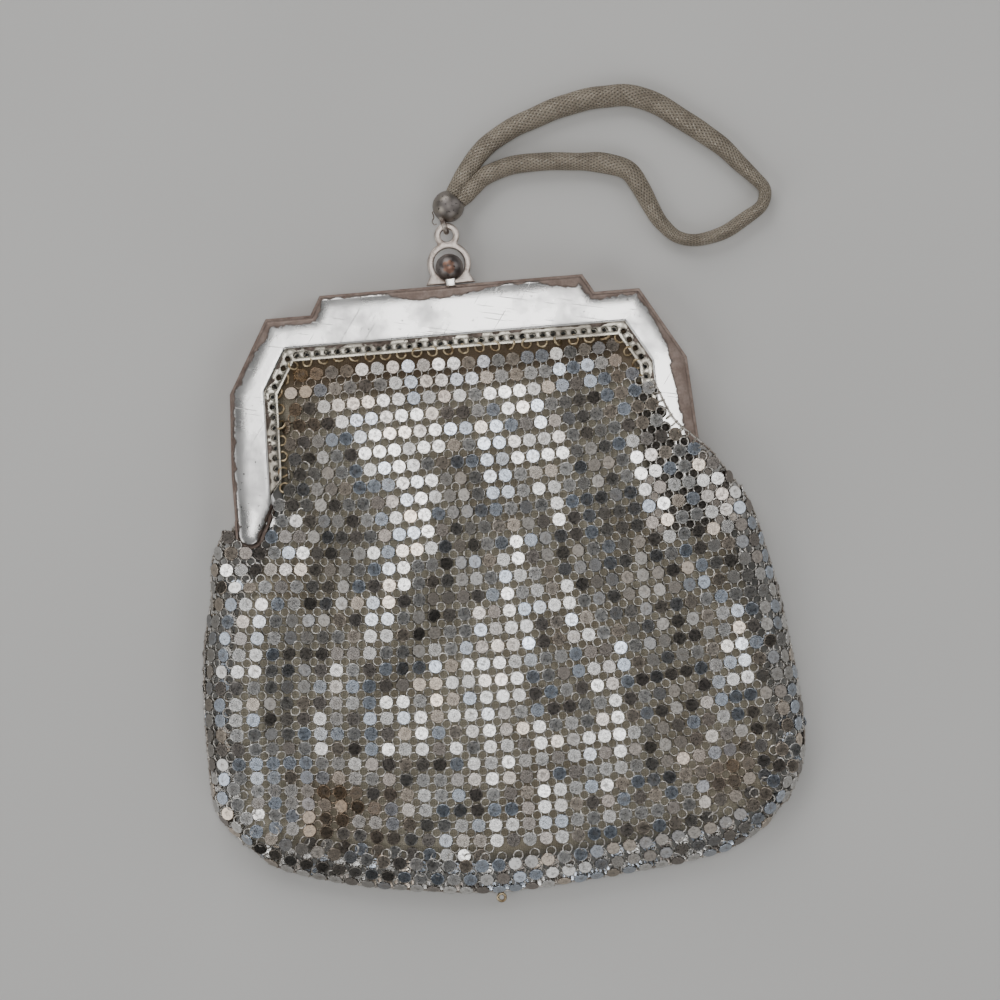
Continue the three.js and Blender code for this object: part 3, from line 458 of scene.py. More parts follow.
class Shape:
    """A mesh in the making, in millimetres."""

    def __init__(self) -> None:
        """Starts an empty mesh."""
        self.bm = bmesh.new()

    def slab(self, outline: np.ndarray, holes: Sequence[np.ndarray], low: float, high: float,
             rounding: float, steps: int = 3, down: bool = False) -> None:
        """A flat plate with a rounded upper or lower edge.

        Args:
            outline: The plate's outline.
            holes: The outlines of its holes.
            low: The height of its lower face.
            high: The height of its upper face.
            rounding: The radius of its rounded edge.
            steps: How many steps the rounding has.
            down: Whether the rounded edge is the lower one.
        """
        start, way = (high, -1) if down else (low, 1)
        edges = []
        for loop in (outline, *holes):
            verts = [self.bm.verts.new((x, y, start)) for x, y in loop]
            edges += [self.bm.edges.new((a, b)) for a, b in zip(verts, verts[1:] + verts[:1])]
        filled = bmesh.ops.triangle_fill(self.bm, edges=edges, use_beauty=True, normal=(0, 0, 1))
        base = [item for item in filled["geom"] if isinstance(item, bmesh.types.BMFace)]
        grown = bmesh.ops.extrude_face_region(self.bm, geom=base)["geom"]
        cap = [item for item in grown if isinstance(item, bmesh.types.BMFace)]
        rise = way * (high - low - rounding)
        bmesh.ops.translate(self.bm, vec=(0, 0, rise), verts=list({v for f in cap for v in f.verts}))
        for i in range(steps):
            before, after = (math.pi / 2 * k / steps for k in (i, i + 1))
            width = rounding * (math.cos(before) - math.cos(after))
            height = way * rounding * (math.sin(after) - math.sin(before))
            bmesh.ops.inset_region(
                self.bm, faces=cap, thickness=width, use_even_offset=True, use_boundary=True)
            bmesh.ops.translate(self.bm, vec=(0, 0, height), verts=list({v for f in cap for v in f.verts}))

    def diced(self, cell: float) -> None:
        """Cuts every face along a square grid, so that a mask over the mesh has points to sit on."""
        points = np.array([vert.co for vert in self.bm.verts])
        for axis in (0, 1):
            normal = [0, 0, 0]
            normal[axis] = 1
            for at in np.arange(points[:, axis].min() + cell / 2, points[:, axis].max(), cell):
                place = [0, 0, 0]
                place[axis] = at
                parts = [*self.bm.verts, *self.bm.edges, *self.bm.faces]
                bmesh.ops.bisect_plane(self.bm, geom=parts, plane_co=place, plane_no=normal)

    def block(self, low: Sequence[float], high: Sequence[float]) -> None:
        """A plain block between two corners."""
        size = [b - a for a, b in zip(low, high)]
        middle = [(a + b) / 2 for a, b in zip(low, high)]
        place = Matrix.Translation(middle) @ Matrix.Diagonal((*size, 1))
        bmesh.ops.create_cube(self.bm, size=1, matrix=place)

    def ring(self, major: float, minor: float, turns: int, sides: int, place: Matrix) -> None:
        """A closed ring of wire.

        Args:
            major: The radius of the wire's middle line.
            minor: The wire's radius.
            turns: Steps around the ring.
            sides: Sides of the wire.
            place: Where the ring lies. It is flat at z 0 before.
        """
        turn = Matrix.Translation((major, 0, 0)) @ Matrix.Rotation(math.pi / 2, 4, "X")
        start = bmesh.ops.create_circle(self.bm, segments=sides, radius=minor, matrix=turn)["verts"]
        self.spun(start, turns, place)

    def spun(self, start: Sequence[bmesh.types.BMVert], turns: int, place: Matrix) -> None:
        """Spins a few points and their edges once around z.

        Args:
            start: The points.
            turns: Steps around.
            place: Where the result goes.
        """
        old = set(self.bm.verts) - set(start)
        edges = list({edge for vert in start for edge in vert.link_edges})
        bmesh.ops.spin(self.bm, geom=[*start, *edges], axis=(0, 0, 1), cent=(0, 0, 0), dvec=(0, 0, 0),
                       angle=2 * math.pi, steps=turns, use_merge=True)
        new = [vert for vert in self.bm.verts if vert not in old]
        bmesh.ops.remove_doubles(self.bm, verts=new, dist=1e-4)
        new = [vert for vert in self.bm.verts if vert not in old]
        bmesh.ops.transform(self.bm, matrix=place, verts=new)

    def turned(self, profile: Sequence[Sequence[float]], turns: int, place: Matrix) -> None:
        """A turned shape.

        Args:
            profile: Its outline from one end of the axis to the other: radius and height.
            turns: Steps around.
            place: Where the result goes.
        """
        verts = [self.bm.verts.new((radius, 0, height)) for radius, height in profile]
        for a, b in zip(verts, verts[1:]):
            self.bm.edges.new((a, b))
        self.spun(verts, turns, place)

    def sweep(self, path: np.ndarray, widths: np.ndarray, sides: int,
              heights: np.ndarray | None = None) -> list[tuple[bmesh.types.BMVert, int, float]]:
        """A closed tube along a path.

        Args:
            path: The middle line's points.
            widths: The tube's half width at each point.
            sides: Sides of the tube.
            heights: Its half height at each point, or None for a round tube.

        Returns:
            Each point of the tube's wall, with its step along the path and its angle around it.
        """
        heights = widths if heights is None else heights
        steps = np.gradient(path, axis=0)
        places = []
        for point, step, width, height in zip(path, steps, widths, heights):
            ahead = Vector(step).normalized()
            aside = ahead.cross(Vector((0, 0, 1)))
            aside = aside.normalized() if aside.length > 0.2 else Vector((1, 0, 0))
            up = aside.cross(ahead)
            turn = Matrix((aside * width, up * height, ahead)).transposed().to_4x4()
            places.append(Matrix.Translation(point) @ turn)
        verts = bmesh.ops.create_circle(self.bm, segments=sides, radius=1, matrix=places[0])["verts"]
        rings = [list(verts)]
        edges = first = list({edge for vert in verts for edge in vert.link_edges})
        for before, after in zip(places, places[1:]):
            grown = bmesh.ops.extrude_edge_only(self.bm, edges=edges)["geom"]
            verts = [item for item in grown if isinstance(item, bmesh.types.BMVert)]
            fresh = set(verts)
            edges = [e for e in grown if isinstance(e, bmesh.types.BMEdge) and set(e.verts) <= fresh]
            bmesh.ops.transform(self.bm, matrix=after @ before.inverted(), verts=verts)
            rings.append(verts)
        for loop in (first, edges):
            bmesh.ops.edgeloop_fill(self.bm, edges=loop)
        found = []
        for i, (ring, place) in enumerate(zip(rings, places)):
            back = place.inverted()
            for vert in ring:
                spot = back @ vert.co
                found.append((vert, i, math.atan2(spot.y, spot.x)))
        return found

    def mesh(self, name: str, smooth: float | None = 35) -> bpy.types.Mesh:
        """Ends the making.

        Args:
            name: The mesh's name.
            smooth: The angle in degrees below which edges are shaded smooth, or None for none.

        Returns:
            The mesh, still in millimetres.
        """
        bmesh.ops.recalc_face_normals(self.bm, faces=self.bm.faces)
        if smooth is not None:
            for face in self.bm.faces:
                face.smooth = True
            for edge in self.bm.edges:
                flat = len(edge.link_faces) != 2 or edge.calc_face_angle(0) > math.radians(smooth)
                edge.smooth = not flat
        mesh = bpy.data.meshes.new(name)
        self.bm.to_mesh(mesh)
        self.bm.free()
        return mesh


@dataclass
class Spots:
    """Places for many copies of one small piece."""

    place: np.ndarray
    normal: np.ndarray
    along: np.ndarray

    def __len__(self) -> int:
        """How many places there are."""
        return len(self.place)

    def kept(self, mask: np.ndarray) -> Spots:
        """Only the places that a mask holds."""
        return Spots(self.place[mask], self.normal[mask], self.along[mask])

    def joined(self, other: Spots) -> Spots:
        """These places and some others."""
        return Spots(*(np.vstack(pair) for pair in zip(
            (self.place, self.normal, self.along), (other.place, other.normal, other.along))))

    def sunk(self, depth: float) -> Spots:
        """The same places moved in, against the way they face."""
        return Spots(self.place - self.normal * depth, self.normal, self.along)

    def lifted(self, radius: float, thick: float, wire: float = 0) -> Spots:
        """The same places, none of them low enough to reach through the floor."""
        up = self.normal[:, 2] / np.linalg.norm(self.normal, axis=1)
        least = 0.05 + wire + radius * np.sqrt(1 - up ** 2) + thick * np.maximum(up, 0)
        place = np.column_stack([self.place[:, :2], np.maximum(self.place[:, 2], least)])
        return Spots(place, self.normal, self.along)

    def shaken(self, chance: np.random.Generator, tilt: float, spin: float) -> Spots:
        """The same places, each tilted and turned a little by chance.

        Args:
            chance: The source of the random numbers.
            tilt: The usual tilt, as a slope.
            spin: The usual turn in the plane, as a slope.

        Returns:
            The shaken places.
        """
        aside = np.cross(self.normal, self.along)
        size = (len(self), 1)
        normal = self.normal + self.along * chance.normal(0, tilt, size)
        normal = normal + aside * chance.normal(0, tilt, size)
        return Spots(self.place, normal, self.along + aside * chance.normal(0, spin, size))

    def sheen(self) -> np.ndarray:
        """How bright each place looks by the sheen strokes, from about -1 to 1."""
        sheen = np.zeros(len(self))
        for x1, y1, x2, y2, width, value in SHEEN.rows:
            step = np.array([x2 - x1, y2 - y1], float)
            share = np.clip((self.place[:, :2] - (x1, y1)) @ step / (step @ step), 0, 1)
            apart = np.linalg.norm(self.place[:, :2] - (x1, y1) - share[:, None] * step, axis=1)
            sheen += value * np.exp(-(apart / width) ** 2)
        return np.clip(sheen, -1, 1)

    def leaned(self, upright: float, lean: float) -> Spots:
        """The same places, flatter where the sheen strokes say so and leaning over elsewhere.

        Args:
            upright: How much of the slope a full bright stroke takes away.
            lean: The slope that a full dark stroke adds.

        Returns:
            The leaned places.
        """
        sheen = self.sheen()
        level = np.maximum(np.abs(self.normal[:, 2:]), 0.05)
        slope = self.normal[:, :2] / level
        steep = np.linalg.norm(slope, axis=1)[:, None]
        way = np.where(steep > 0.03, slope / np.maximum(steep, 1e-6), (-0.8, -0.6))
        flat, over = np.clip(sheen, 0, 1)[:, None], np.clip(-sheen, 0, 1)[:, None]
        inside = steep < 0.8
        slope = np.where(inside, slope * (1 - upright * flat) + way * lean * over, slope)
        return Spots(self.place, np.column_stack([slope * level, self.normal[:, 2:]]), self.along)

    def frames(self) -> np.ndarray:
        """Each place's three directions, as the columns of a matrix."""
        up = self.normal / np.linalg.norm(self.normal, axis=1)[:, None]
        along = self.along - up * np.sum(self.along * up, axis=1)[:, None]
        along /= np.linalg.norm(along, axis=1)[:, None]
        return np.stack([along, np.cross(up, along), up], axis=2)


def copies(name: str, template: bpy.types.Mesh, spots: Spots, tones: np.ndarray) -> bpy.types.Mesh:
    """Joins many copies of a small mesh in one.

    Args:
        name: The new mesh's name.
        template: The small mesh, flat at z 0.
        spots: Where the copies go.
        tones: Each copy's own colour.

    Returns:
        The joined mesh, with the colours in the attribute tone.
    """
    verts, loops, faces = len(template.vertices), len(template.loops), len(template.polygons)
    corners = np.empty(verts * 3)
    template.vertices.foreach_get("co", corners)
    turned = np.einsum("nij,vj->nvi", spots.frames(), corners.reshape(-1, 3)) + spots.place[:, None, :]
    of_loop, starts = np.empty(loops, int), np.empty(faces, int)
    template.loops.foreach_get("vertex_index", of_loop)
    template.polygons.foreach_get("loop_start", starts)
    smooth = np.empty(faces, bool)
    template.polygons.foreach_get("use_smooth", smooth)
    count = len(spots)
    mesh = bpy.data.meshes.new(name)
    mesh.vertices.add(verts * count)
    mesh.loops.add(loops * count)
    mesh.polygons.add(faces * count)
    mesh.vertices.foreach_set("co", turned.ravel())
    number = np.arange(count)[:, None]
    mesh.loops.foreach_set("vertex_index", (of_loop[None, :] + number * verts).ravel())
    mesh.polygons.foreach_set("loop_start", (starts[None, :] + number * loops).ravel())
    mesh.polygons.foreach_set("use_smooth", np.tile(smooth, count))
    mesh.update(calc_edges=True)
    if template.uv_layers:
        flat = np.empty(loops * 2)
        template.uv_layers[0].data.foreach_get("uv", flat)
        mesh.uv_layers.new(name="disc").data.foreach_set("uv", np.tile(flat, count))
    tone = mesh.attributes.new("tone", "FLOAT_COLOR", "POINT")
    tone.data.foreach_set("color", np.repeat(np.column_stack([tones, np.ones(count)]), verts, axis=0).ravel())
    bpy.data.meshes.remove(template)
    return mesh


class Drawing:
    """The step from the drawing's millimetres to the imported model's metres."""

    def __init__(self) -> None:
        """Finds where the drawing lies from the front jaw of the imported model."""
        low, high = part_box("jaw_front")
        self.origin = Vector(((low.x + high.x) / 2, high.y, 0))

    def piece(self, mesh: bpy.types.Mesh, finish: Finish, slot: str,
              nodes: Sequence[str] = ()) -> bpy.types.Object:
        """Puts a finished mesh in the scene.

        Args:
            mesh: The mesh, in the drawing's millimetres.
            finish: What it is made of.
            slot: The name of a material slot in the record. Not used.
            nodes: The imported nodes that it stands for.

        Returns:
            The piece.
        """
        mesh.transform(Matrix.Translation(self.origin) @ Matrix.Scale(MM, 4))
        mesh.materials.append(finish.material())
        piece = bpy.data.objects.new(mesh.name, mesh)
        bpy.context.scene.collection.objects.link(piece)
        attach(piece, "root")
        if nodes:
            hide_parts(*nodes)
        LOG.info("%s: %d faces", piece.name, len(mesh.polygons))
        return piece

    def tree(self, *nodes: str) -> BVHTree:
        """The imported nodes' surfaces, in the drawing's millimetres."""
        whole = bmesh.new()
        for name in nodes:
            whole.from_mesh(bpy.data.objects[name].data)
        whole.transform(Matrix.Scale(1 / MM, 4) @ Matrix.Translation(-self.origin))
        tree = BVHTree.FromBMesh(whole)
        whole.free()
        return tree

    def metres(self, point: Sequence[float]) -> tuple[float, ...]:
        """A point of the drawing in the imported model's frame."""
        return tuple(self.origin + Vector(point) * MM)


class Graph:
    """A material's nodes, with short ways to add and join them."""

    def __init__(self, name: str) -> None:
        """Starts a material with one Principled shader."""
        self.owner = bpy.data.materials.new(name)
        self.owner.use_nodes = True
        self.tree = self.owner.node_tree
        self.shader = self.tree.nodes["Principled BSDF"]
        self.place = self.add("ShaderNodeTexCoord").outputs["Object"]

    def add(self, kind: str, sockets: dict | None = None, **settings: object) -> bpy.types.Node:
        """Adds a node.

        Args:
            kind: The node's type.
            sockets: What goes into its inputs: numbers, or other nodes' outputs.
            settings: Its own settings.

        Returns:
            The node.
        """
        node = self.tree.nodes.new(kind)
        for name, value in settings.items():
            setattr(node, name, value)
        for name, value in (sockets or {}).items():
            self.put(node.inputs[name], value)
        return node

    def put(self, socket: bpy.types.NodeSocket, value: object) -> None:
        """Sets an input, or joins an output to it."""
        if isinstance(value, bpy.types.NodeSocket):
            self.tree.links.new(value, socket)
        else:
            socket.default_value = value

    def noise(self, scale: float, detail: float = 3, rough: float = 0.55, place: object = None,
              stretch: Sequence[float] | None = None, turn: float = 0) -> bpy.types.NodeSocket:
        """A noise over the piece.

        Args:
            scale: How many waves to a metre.
            detail: How many finer layers.
            rough: How strong those are.
            place: Coordinates other than the object's own.
            stretch: Extra scale along each direction.
            turn: A turn around z before that, in degrees.

        Returns:
            The noise, about 0 to 1.
        """
        place = place or self.place
        if stretch:
            if turn:
                turned = {"Vector": place, "Rotation": (0, 0, math.radians(turn))}
                place = self.add("ShaderNodeMapping", turned).outputs[0]
            place = self.add("ShaderNodeMapping", {"Vector": place, "Scale": stretch}).outputs[0]
        sockets = {"Vector": place, "Scale": scale, "Detail": detail, "Roughness": rough}
        return self.add("ShaderNodeTexNoise", sockets).outputs["Fac"]

    def math(self, way: str, a: object, b: object = 0.0, c: object = 0.0) -> bpy.types.NodeSocket:
        """A sum on numbers."""
        return self.add("ShaderNodeMath", {0: a, 1: b, 2: c}, operation=way).outputs[0]

    def step(self, value: object, low: float, high: float,
             start: float = 0, end: float = 1) -> bpy.types.NodeSocket:
        """A smooth step from start to end as a value goes from low to high."""
        sockets = {"Value": value, "From Min": low, "From Max": high, "To Min": start, "To Max": end}
        return self.add("ShaderNodeMapRange", sockets, interpolation_type="SMOOTHSTEP").outputs[0]

    def mix(self, share: object, first: object, second: object, way: str = "MIX") -> bpy.types.NodeSocket:
        """A mix of two colours."""
        node = self.add("ShaderNodeMix", data_type="RGBA", blend_type=way)
        for place, value in ((0, share), (6, first), (7, second)):
            if isinstance(value, tuple):
                value = (*value, 1)
            self.put(node.inputs[place], value)
        return node.outputs[2]

    def attribute(self, name: str, output: str = "Fac") -> bpy.types.NodeSocket:
        """A value kept on the mesh."""
        return self.add("ShaderNodeAttribute", attribute_name=name).outputs[output]

    def bump(self, height: object, distance: float, strength: float = 1.0) -> None:
        """Adds a relief to the shader, over what is there already."""
        before = self.shader.inputs["Normal"].links
        sockets = {"Height": height, "Distance": distance, "Strength": strength}
        if before:
            sockets["Normal"] = before[0].from_socket
        self.put(self.shader.inputs["Normal"], self.add("ShaderNodeBump", sockets).outputs[0])

    def finish(self, colour: object, roughness: object, metallic: float = 1.0) -> bpy.types.Material:
        """Sets the shader's main inputs.

        Args:
            colour: The colour.
            roughness: The roughness.
            metallic: 1 for metal.

        Returns:
            The material.
        """
        if isinstance(colour, tuple):
            colour = (*colour, 1)
        self.put(self.shader.inputs["Base Color"], colour)
        self.put(self.shader.inputs["Roughness"], roughness)
        self.put(self.shader.inputs["Metallic"], metallic)
        return self.owner


Colour = tuple[float, float, float]


@dataclass(frozen=True)
class Finish:
    """What a piece is made of."""

    name: str

    def material(self) -> bpy.types.Material:
        """The finish's material, made once."""
        found = bpy.data.materials.get(self.name)
        return found or self.make(Graph(self.name))

    def make(self, graph: Graph) -> bpy.types.Material:
        """Makes the material."""
        raise NotImplementedError


@dataclass(frozen=True)
class WornPlate(Finish):
    """Silver plate, worn through to bare metal along the edges and pitted.

    The mesh says in its attribute wear how many millimetres each point lies inside the border of the plate.
    """

    plate: Colour = (0.9, 0.885, 0.86)
    dull: Colour = (0.68, 0.67, 0.66)
    bare: Colour = (0.27, 0.205, 0.175)
    pit: Colour = (0.05, 0.04, 0.035)
    ragged: float = 2.6
    pitted: float = 1.0

    def make(self, graph: Graph) -> bpy.types.Material:
        """Makes the material."""
        ragged = graph.math("MULTIPLY_ADD", graph.noise(330, 5, 0.62), self.ragged, -self.ragged / 2)
        inside = graph.math("ADD", graph.attribute("wear"), ragged)
        plated = graph.step(inside, -0.12, 0.12)
        border = graph.math("MULTIPLY", graph.step(inside, -0.5, 0.05), graph.step(inside, 0.3, 0.0))
        clouds = graph.step(graph.noise(70, 4, 0.6), 0.42, 0.7)
        colour = graph.mix(clouds, self.plate, self.dull)
        brown_patches = graph.mix(graph.step(graph.noise(420, 4, 0.7), 0.35, 0.7), self.bare, (0.4, 0.32, 0.28))
        colour = graph.mix(plated, brown_patches, colour)
        colour = graph.mix(graph.math("MULTIPLY", border, 0.75), colour, (0.1, 0.08, 0.07))
        corner = graph.add("ShaderNodeSeparateXYZ", {0: graph.place}).outputs
        left, low = graph.step(corner[0], -0.030, -0.048), graph.step(corner[1], 0.040, 0.012)
        low_left = graph.math("MULTIPLY", left, low)
        many = graph.math("MULTIPLY_ADD", low_left, -0.055 * self.pitted, 0.735)
        specks = graph.math("SUBTRACT", graph.noise(1150, 2.5, 0.5), many)
        pits = graph.step(specks, 0.0, 0.02)
        colour = graph.mix(graph.math("MULTIPLY", pits, 0.9), colour, self.pit)
        fine = graph.noise(60, 2, 0.5, stretch=(1, 45, 1), turn=12)
        across = graph.noise(45, 2, 0.5, stretch=(60, 1.5, 1), turn=35)
        scratches = graph.math("MAXIMUM", graph.step(fine, 0.68, 0.74), graph.step(across, 0.7, 0.75))
        rough = graph.math("ADD", graph.step(plated, 0, 1, 0.52, 0.26), graph.step(clouds, 0, 1, 0, 0.1))
        rough = graph.math("ADD", rough, graph.math("MULTIPLY", scratches, 0.12))
        graph.bump(graph.math("SUBTRACT", plated, graph.math("MULTIPLY", pits, 2)), 0.00006)
        graph.bump(graph.math("ADD", scratches, graph.noise(900, 4, 0.6)), 0.000012)
        return graph.finish(colour, rough)


@dataclass(frozen=True)
class DiscMetal(Finish):
    """A flat disc or a ring with its own tone, scratched by wear. The attribute tone holds the tone, which on
    the discs carries painted highlight and painted shade.
    """

    rough: float = 0.3
    scratched: float = 1.0

    def make(self, graph: Graph) -> bpy.types.Material:
        """Makes the material."""
        tone = graph.attribute("tone", "Color")
        fine, broad = graph.noise(1700, 3, 0.65), graph.noise(600, 3, 0.6)
        flat = graph.add("ShaderNodeUVMap", uv_map="disc").outputs[0]
        out = graph.add("ShaderNodeVectorMath", {0: flat}, operation="LENGTH").outputs["Value"]
        worn = graph.step(out, 0.85, 0.2, 0.1, 1)
        marks = graph.math("MULTIPLY", graph.step(fine, 0.5, 0.64, 0, 0.6 * self.scratched), worn)
        colour = graph.mix(marks, tone, (0.13, 0.12, 0.115))
        rubbed = graph.step(out, 0.6, 0.1, 0, 0.3 * self.scratched)
        rubbed = graph.math("MULTIPLY", rubbed, graph.step(broad, 0.3, 0.6))
        colour = graph.mix(rubbed, colour, (0.16, 0.145, 0.13))
        colour = graph.mix(graph.step(broad, 0.48, 0.72, 0, 0.3), colour, (0.24, 0.205, 0.17))
        rough = graph.math("ADD", graph.step(fine, 0.3, 0.7, -0.04, 0.1), self.rough)
        graph.bump(fine, 0.000004 * self.scratched)
        graph.bump(broad, 0.000014)
        return graph.finish(colour, rough)


@dataclass(frozen=True)
class WireMetal(Finish):
    """Wire or plain metal with tarnish in patches."""

    clean: Colour = (0.62, 0.58, 0.53)
    tarnished: Colour = (0.2, 0.15, 0.11)
    rough: float = 0.32
    patches: float = 400
    spread: float = 0.5

    def make(self, graph: Graph) -> bpy.types.Material:
        """Makes the material."""
        patches = graph.step(graph.noise(self.patches, 4, 0.65), self.spread - 0.12, self.spread + 0.14)
        fine = graph.noise(2200, 3, 0.6)
        colour = graph.mix(patches, self.clean, self.tarnished)
        colour = graph.mix(graph.step(fine, 0.6, 0.75, 0, 0.6), colour, self.tarnished)
        graph.bump(fine, 0.000025)
        return graph.finish(colour, graph.step(patches, 0, 1, self.rough, self.rough + 0.18))


@dataclass(frozen=True)
class DarkPolish(Finish):
    """Dark tarnished polish, pitted, with an optional rubbed spot on top."""

    dark: Colour = (0.16, 0.145, 0.14)
    rubbed: Colour = (0.34, 0.2, 0.15)
    spot: float = 0.0

    def make(self, graph: Graph) -> bpy.types.Material:
        """Makes the material."""
        clouds = graph.step(graph.noise(500, 4, 0.6), 0.4, 0.65)
        pits = graph.step(graph.noise(1700, 3, 0.6), 0.62, 0.68)
        colour = graph.mix(clouds, self.dark, (0.3, 0.27, 0.255))
        if self.spot:
            up = graph.add("ShaderNodeSeparateXYZ", {0: graph.place}).outputs[2]
            top = graph.math("ADD", graph.step(up, self.spot - 0.0006, self.spot + 0.0004), graph.noise(900))
            colour = graph.mix(graph.step(top, 1.25, 1.5), colour, self.rubbed)
        colour = graph.mix(pits, colour, (0.04, 0.035, 0.03))
        graph.bump(pits, -0.00006)
        graph.bump(graph.noise(900, 3, 0.6), 0.00002)
        return graph.finish(colour, graph.step(clouds, 0, 1, 0.4, 0.5))


@dataclass(frozen=True)
class LiningCloth(Finish):
    """Plain woven champagne cloth, a little soiled, with painted shade towards the bag's mouth under the
    frame.
    """

    clean: Colour = (0.56, 0.51, 0.4)
    soiled: Colour = (0.4, 0.34, 0.25)
    # The y in metres where the painted shade at the bag's mouth sets in
    mouth: float = 0.046

    def make(self, graph: Graph) -> bpy.types.Material:
        """Makes the material."""
        waves = {"Vector": graph.place, "Scale": 640, "Distortion": 0.4}
        warp = graph.add("ShaderNodeTexWave", waves, bands_direction="X").outputs["Fac"]
        weft = graph.add("ShaderNodeTexWave", waves, bands_direction="Y").outputs["Fac"]
        weave = graph.math("MULTIPLY", warp, weft)
        soil = graph.step(graph.noise(60, 4, 0.6), 0.42, 0.7)
        colour = graph.mix(soil, self.clean, self.soiled)
        colour = graph.mix(graph.step(weave, 0, 1, 0.3, 0), colour, (0.3, 0.26, 0.19))
        # Painted shade: dark brown towards the mouth, where the frame shades the cloth
        up = graph.add("ShaderNodeSeparateXYZ", {0: graph.place}).outputs[1]
        high = graph.math("MULTIPLY_ADD", graph.noise(150), 0.006, up)
        shade = graph.step(high, self.mouth - 0.008, self.mouth + 0.003, 0, 0.85)
        colour = graph.mix(shade, colour, (0.16, 0.1, 0.05))
        graph.bump(weave, 0.00008)
        graph.shader.inputs["Sheen Weight"].default_value = 0.25
        return graph.finish(colour, 0.75, 0.0)


@dataclass(frozen=True)
class KnitWire(Finish):
    """Fine knitted wire, dull brown grey, with painted glints on the raised strands and painted shade in the
    holes.

    The mesh's attribute around holds the cosine and the sine of the way round the tube, and the metres
    along it.
    """

    wire: Colour = (0.36, 0.31, 0.245)
    dull: Colour = (0.27, 0.23, 0.18)
    # Painted shade for the holes of the knit, and painted glints for its raised strands
    shade: Colour = (0.035, 0.03, 0.025)
    painted_glint: Colour = (0.85, 0.8, 0.7)
    wales: float = 18
    stitch: float = 0.0013

    def make(self, graph: Graph) -> bpy.types.Material:
        """Makes the material."""
        around = graph.attribute("around", "Vector")
        turn, aside, along = graph.add("ShaderNodeSeparateXYZ", {0: around}).outputs
        angle = graph.math("ARCTAN2", aside, turn)
        wale = graph.math("MULTIPLY_ADD", angle, self.wales / (2 * math.pi), 40)
        across = graph.math("MULTIPLY", graph.math("PINGPONG", wale, 0.5), 2)
        loop = graph.math("PINGPONG", graph.math("DIVIDE", along, self.stitch), 0.5)
        lean = graph.math("MULTIPLY_ADD", loop, 2, graph.math("SUBTRACT", across, 1))
        raised = graph.math("SUBTRACT", 1, graph.math("ABSOLUTE", lean))
        patches = graph.step(graph.noise(260, 3, 0.6), 0.4, 0.65)
        fine = graph.noise(3000, 2, 0.6)
        colour = graph.mix(patches, self.wire, self.dull)
        # Painted shade: the holes between the stitches darkened
        colour = graph.mix(graph.step(raised, 0.55, 0.1), colour, self.shade)
        # Painted glints: light specks on the raised strands
        bright = graph.math("MULTIPLY", graph.step(raised, 0.75, 0.95), graph.step(fine, 0.52, 0.64, 0, 0.7))
        colour = graph.mix(bright, colour, self.painted_glint)
        graph.bump(raised, 0.00012)
        return graph.finish(colour, graph.step(bright, 0, 1, 0.5, 0.3), 0.85)


@dataclass(frozen=True)
class PaleFloor(Finish):
    """A plain pale floor."""

    def make(self, graph: Graph) -> bpy.types.Material:
        """Makes the material."""
        soft = graph.step(graph.noise(9, 2, 0.5), 0.3, 0.7)
        return graph.finish(graph.mix(soft, (0.7, 0.69, 0.67), (0.73, 0.72, 0.7)), 0.9, 0.0)


@dataclass(frozen=True)
class JawForm:
    """The frame's outline and the pierced strip along its inner edge, in millimetres."""

    bar_half: float = 29.2
    step_out: float = 2.4
    step_drop: float = 4.2
    shoulder_half: float = 41.7
    knee_half: float = 50.8
    knee_drop: float = 19.9
    arm_half: float = 51.9
    flare_drop: float = 38.0
    arm_drop: float = 53.9
    tip_radius: float = 2.4
    tip_slope_rise: float = 8.4
    bar_face: float = 10.8
    arm_face: float = 7.9
    knee_face: float = 7.4
    corner_half: float = 38.1
    face_sheet: float = 1.0
    rim_sheet: float = 1.0
    edge_radius: float = 0.55
    strip_width: float = 2.9
    strip_tuck: float = 0.4
    strip_step: float = 0.6
    strip_sheet: float = 0.7
    strip_end_drop: float = 43.0
    strip_taper: float = 3.5
    hole_bore: float = 1.15
    hole_pitch: float = 2.27
    pin_drop: float = 50.2
    lug_sheet: float = 0.5
    lug_width: float = 4.0
    lug_reach: float = 2.0

    def mirrored(self, half: Sequence[Sequence[float]]) -> np.ndarray:
        """A whole line from its right half, from the right arm over the top to the left arm."""
        right = np.array(half, float)
        return np.vstack([right[::-1], right * (-1, 1)])

    def outer(self) -> np.ndarray:
        """The frame's outer edge."""
        middle = np.array([self.arm_half - self.tip_radius, -(self.arm_drop - self.tip_radius)])
        slope_top = np.array([self.arm_half - self.arm_face, -(self.arm_drop - self.tip_slope_rise)])
        x, y = slope_top - middle
        reach = math.acos(self.tip_radius / math.hypot(x, y))
        turn = (math.degrees(math.atan2(y, x) + reach) - 360) % -360
        tip = circle(*middle, self.tip_radius, 12, 0, turn)
        return self.mirrored([
            (self.bar_half, 0),
            (self.bar_half + self.step_out, -self.step_drop),
            (self.shoulder_half, -self.step_drop),
            (self.knee_half, -self.knee_drop),
            (self.arm_half, -self.flare_drop),
            *tip,
            slope_top,
        ])

    def groove(self) -> np.ndarray:
        """The engraved line between the face and the pierced strip."""
        return self.mirrored([
            (self.corner_half, -self.bar_face),
            (self.knee_half - self.knee_face, -self.knee_drop),
            (self.arm_half - self.arm_face, -self.strip_end_drop),
        ])

    def strip(self) -> tuple[np.ndarray, list[np.ndarray]]:
        """The pierced strip's outline and its holes."""
        inner = offset_line(self.groove(), self.strip_width)
        inner[0, 1] += self.strip_taper
        inner[-1, 1] += self.strip_taper
        outline = np.vstack([offset_line(self.groove(), -self.strip_tuck), inner[::-1]])
        middles = spaced(offset_line(self.groove(), self.strip_width / 2), self.hole_pitch, self.strip_taper)
        return outline, [circle(x, y, self.hole_bore / 2, 10) for x, y in middles]


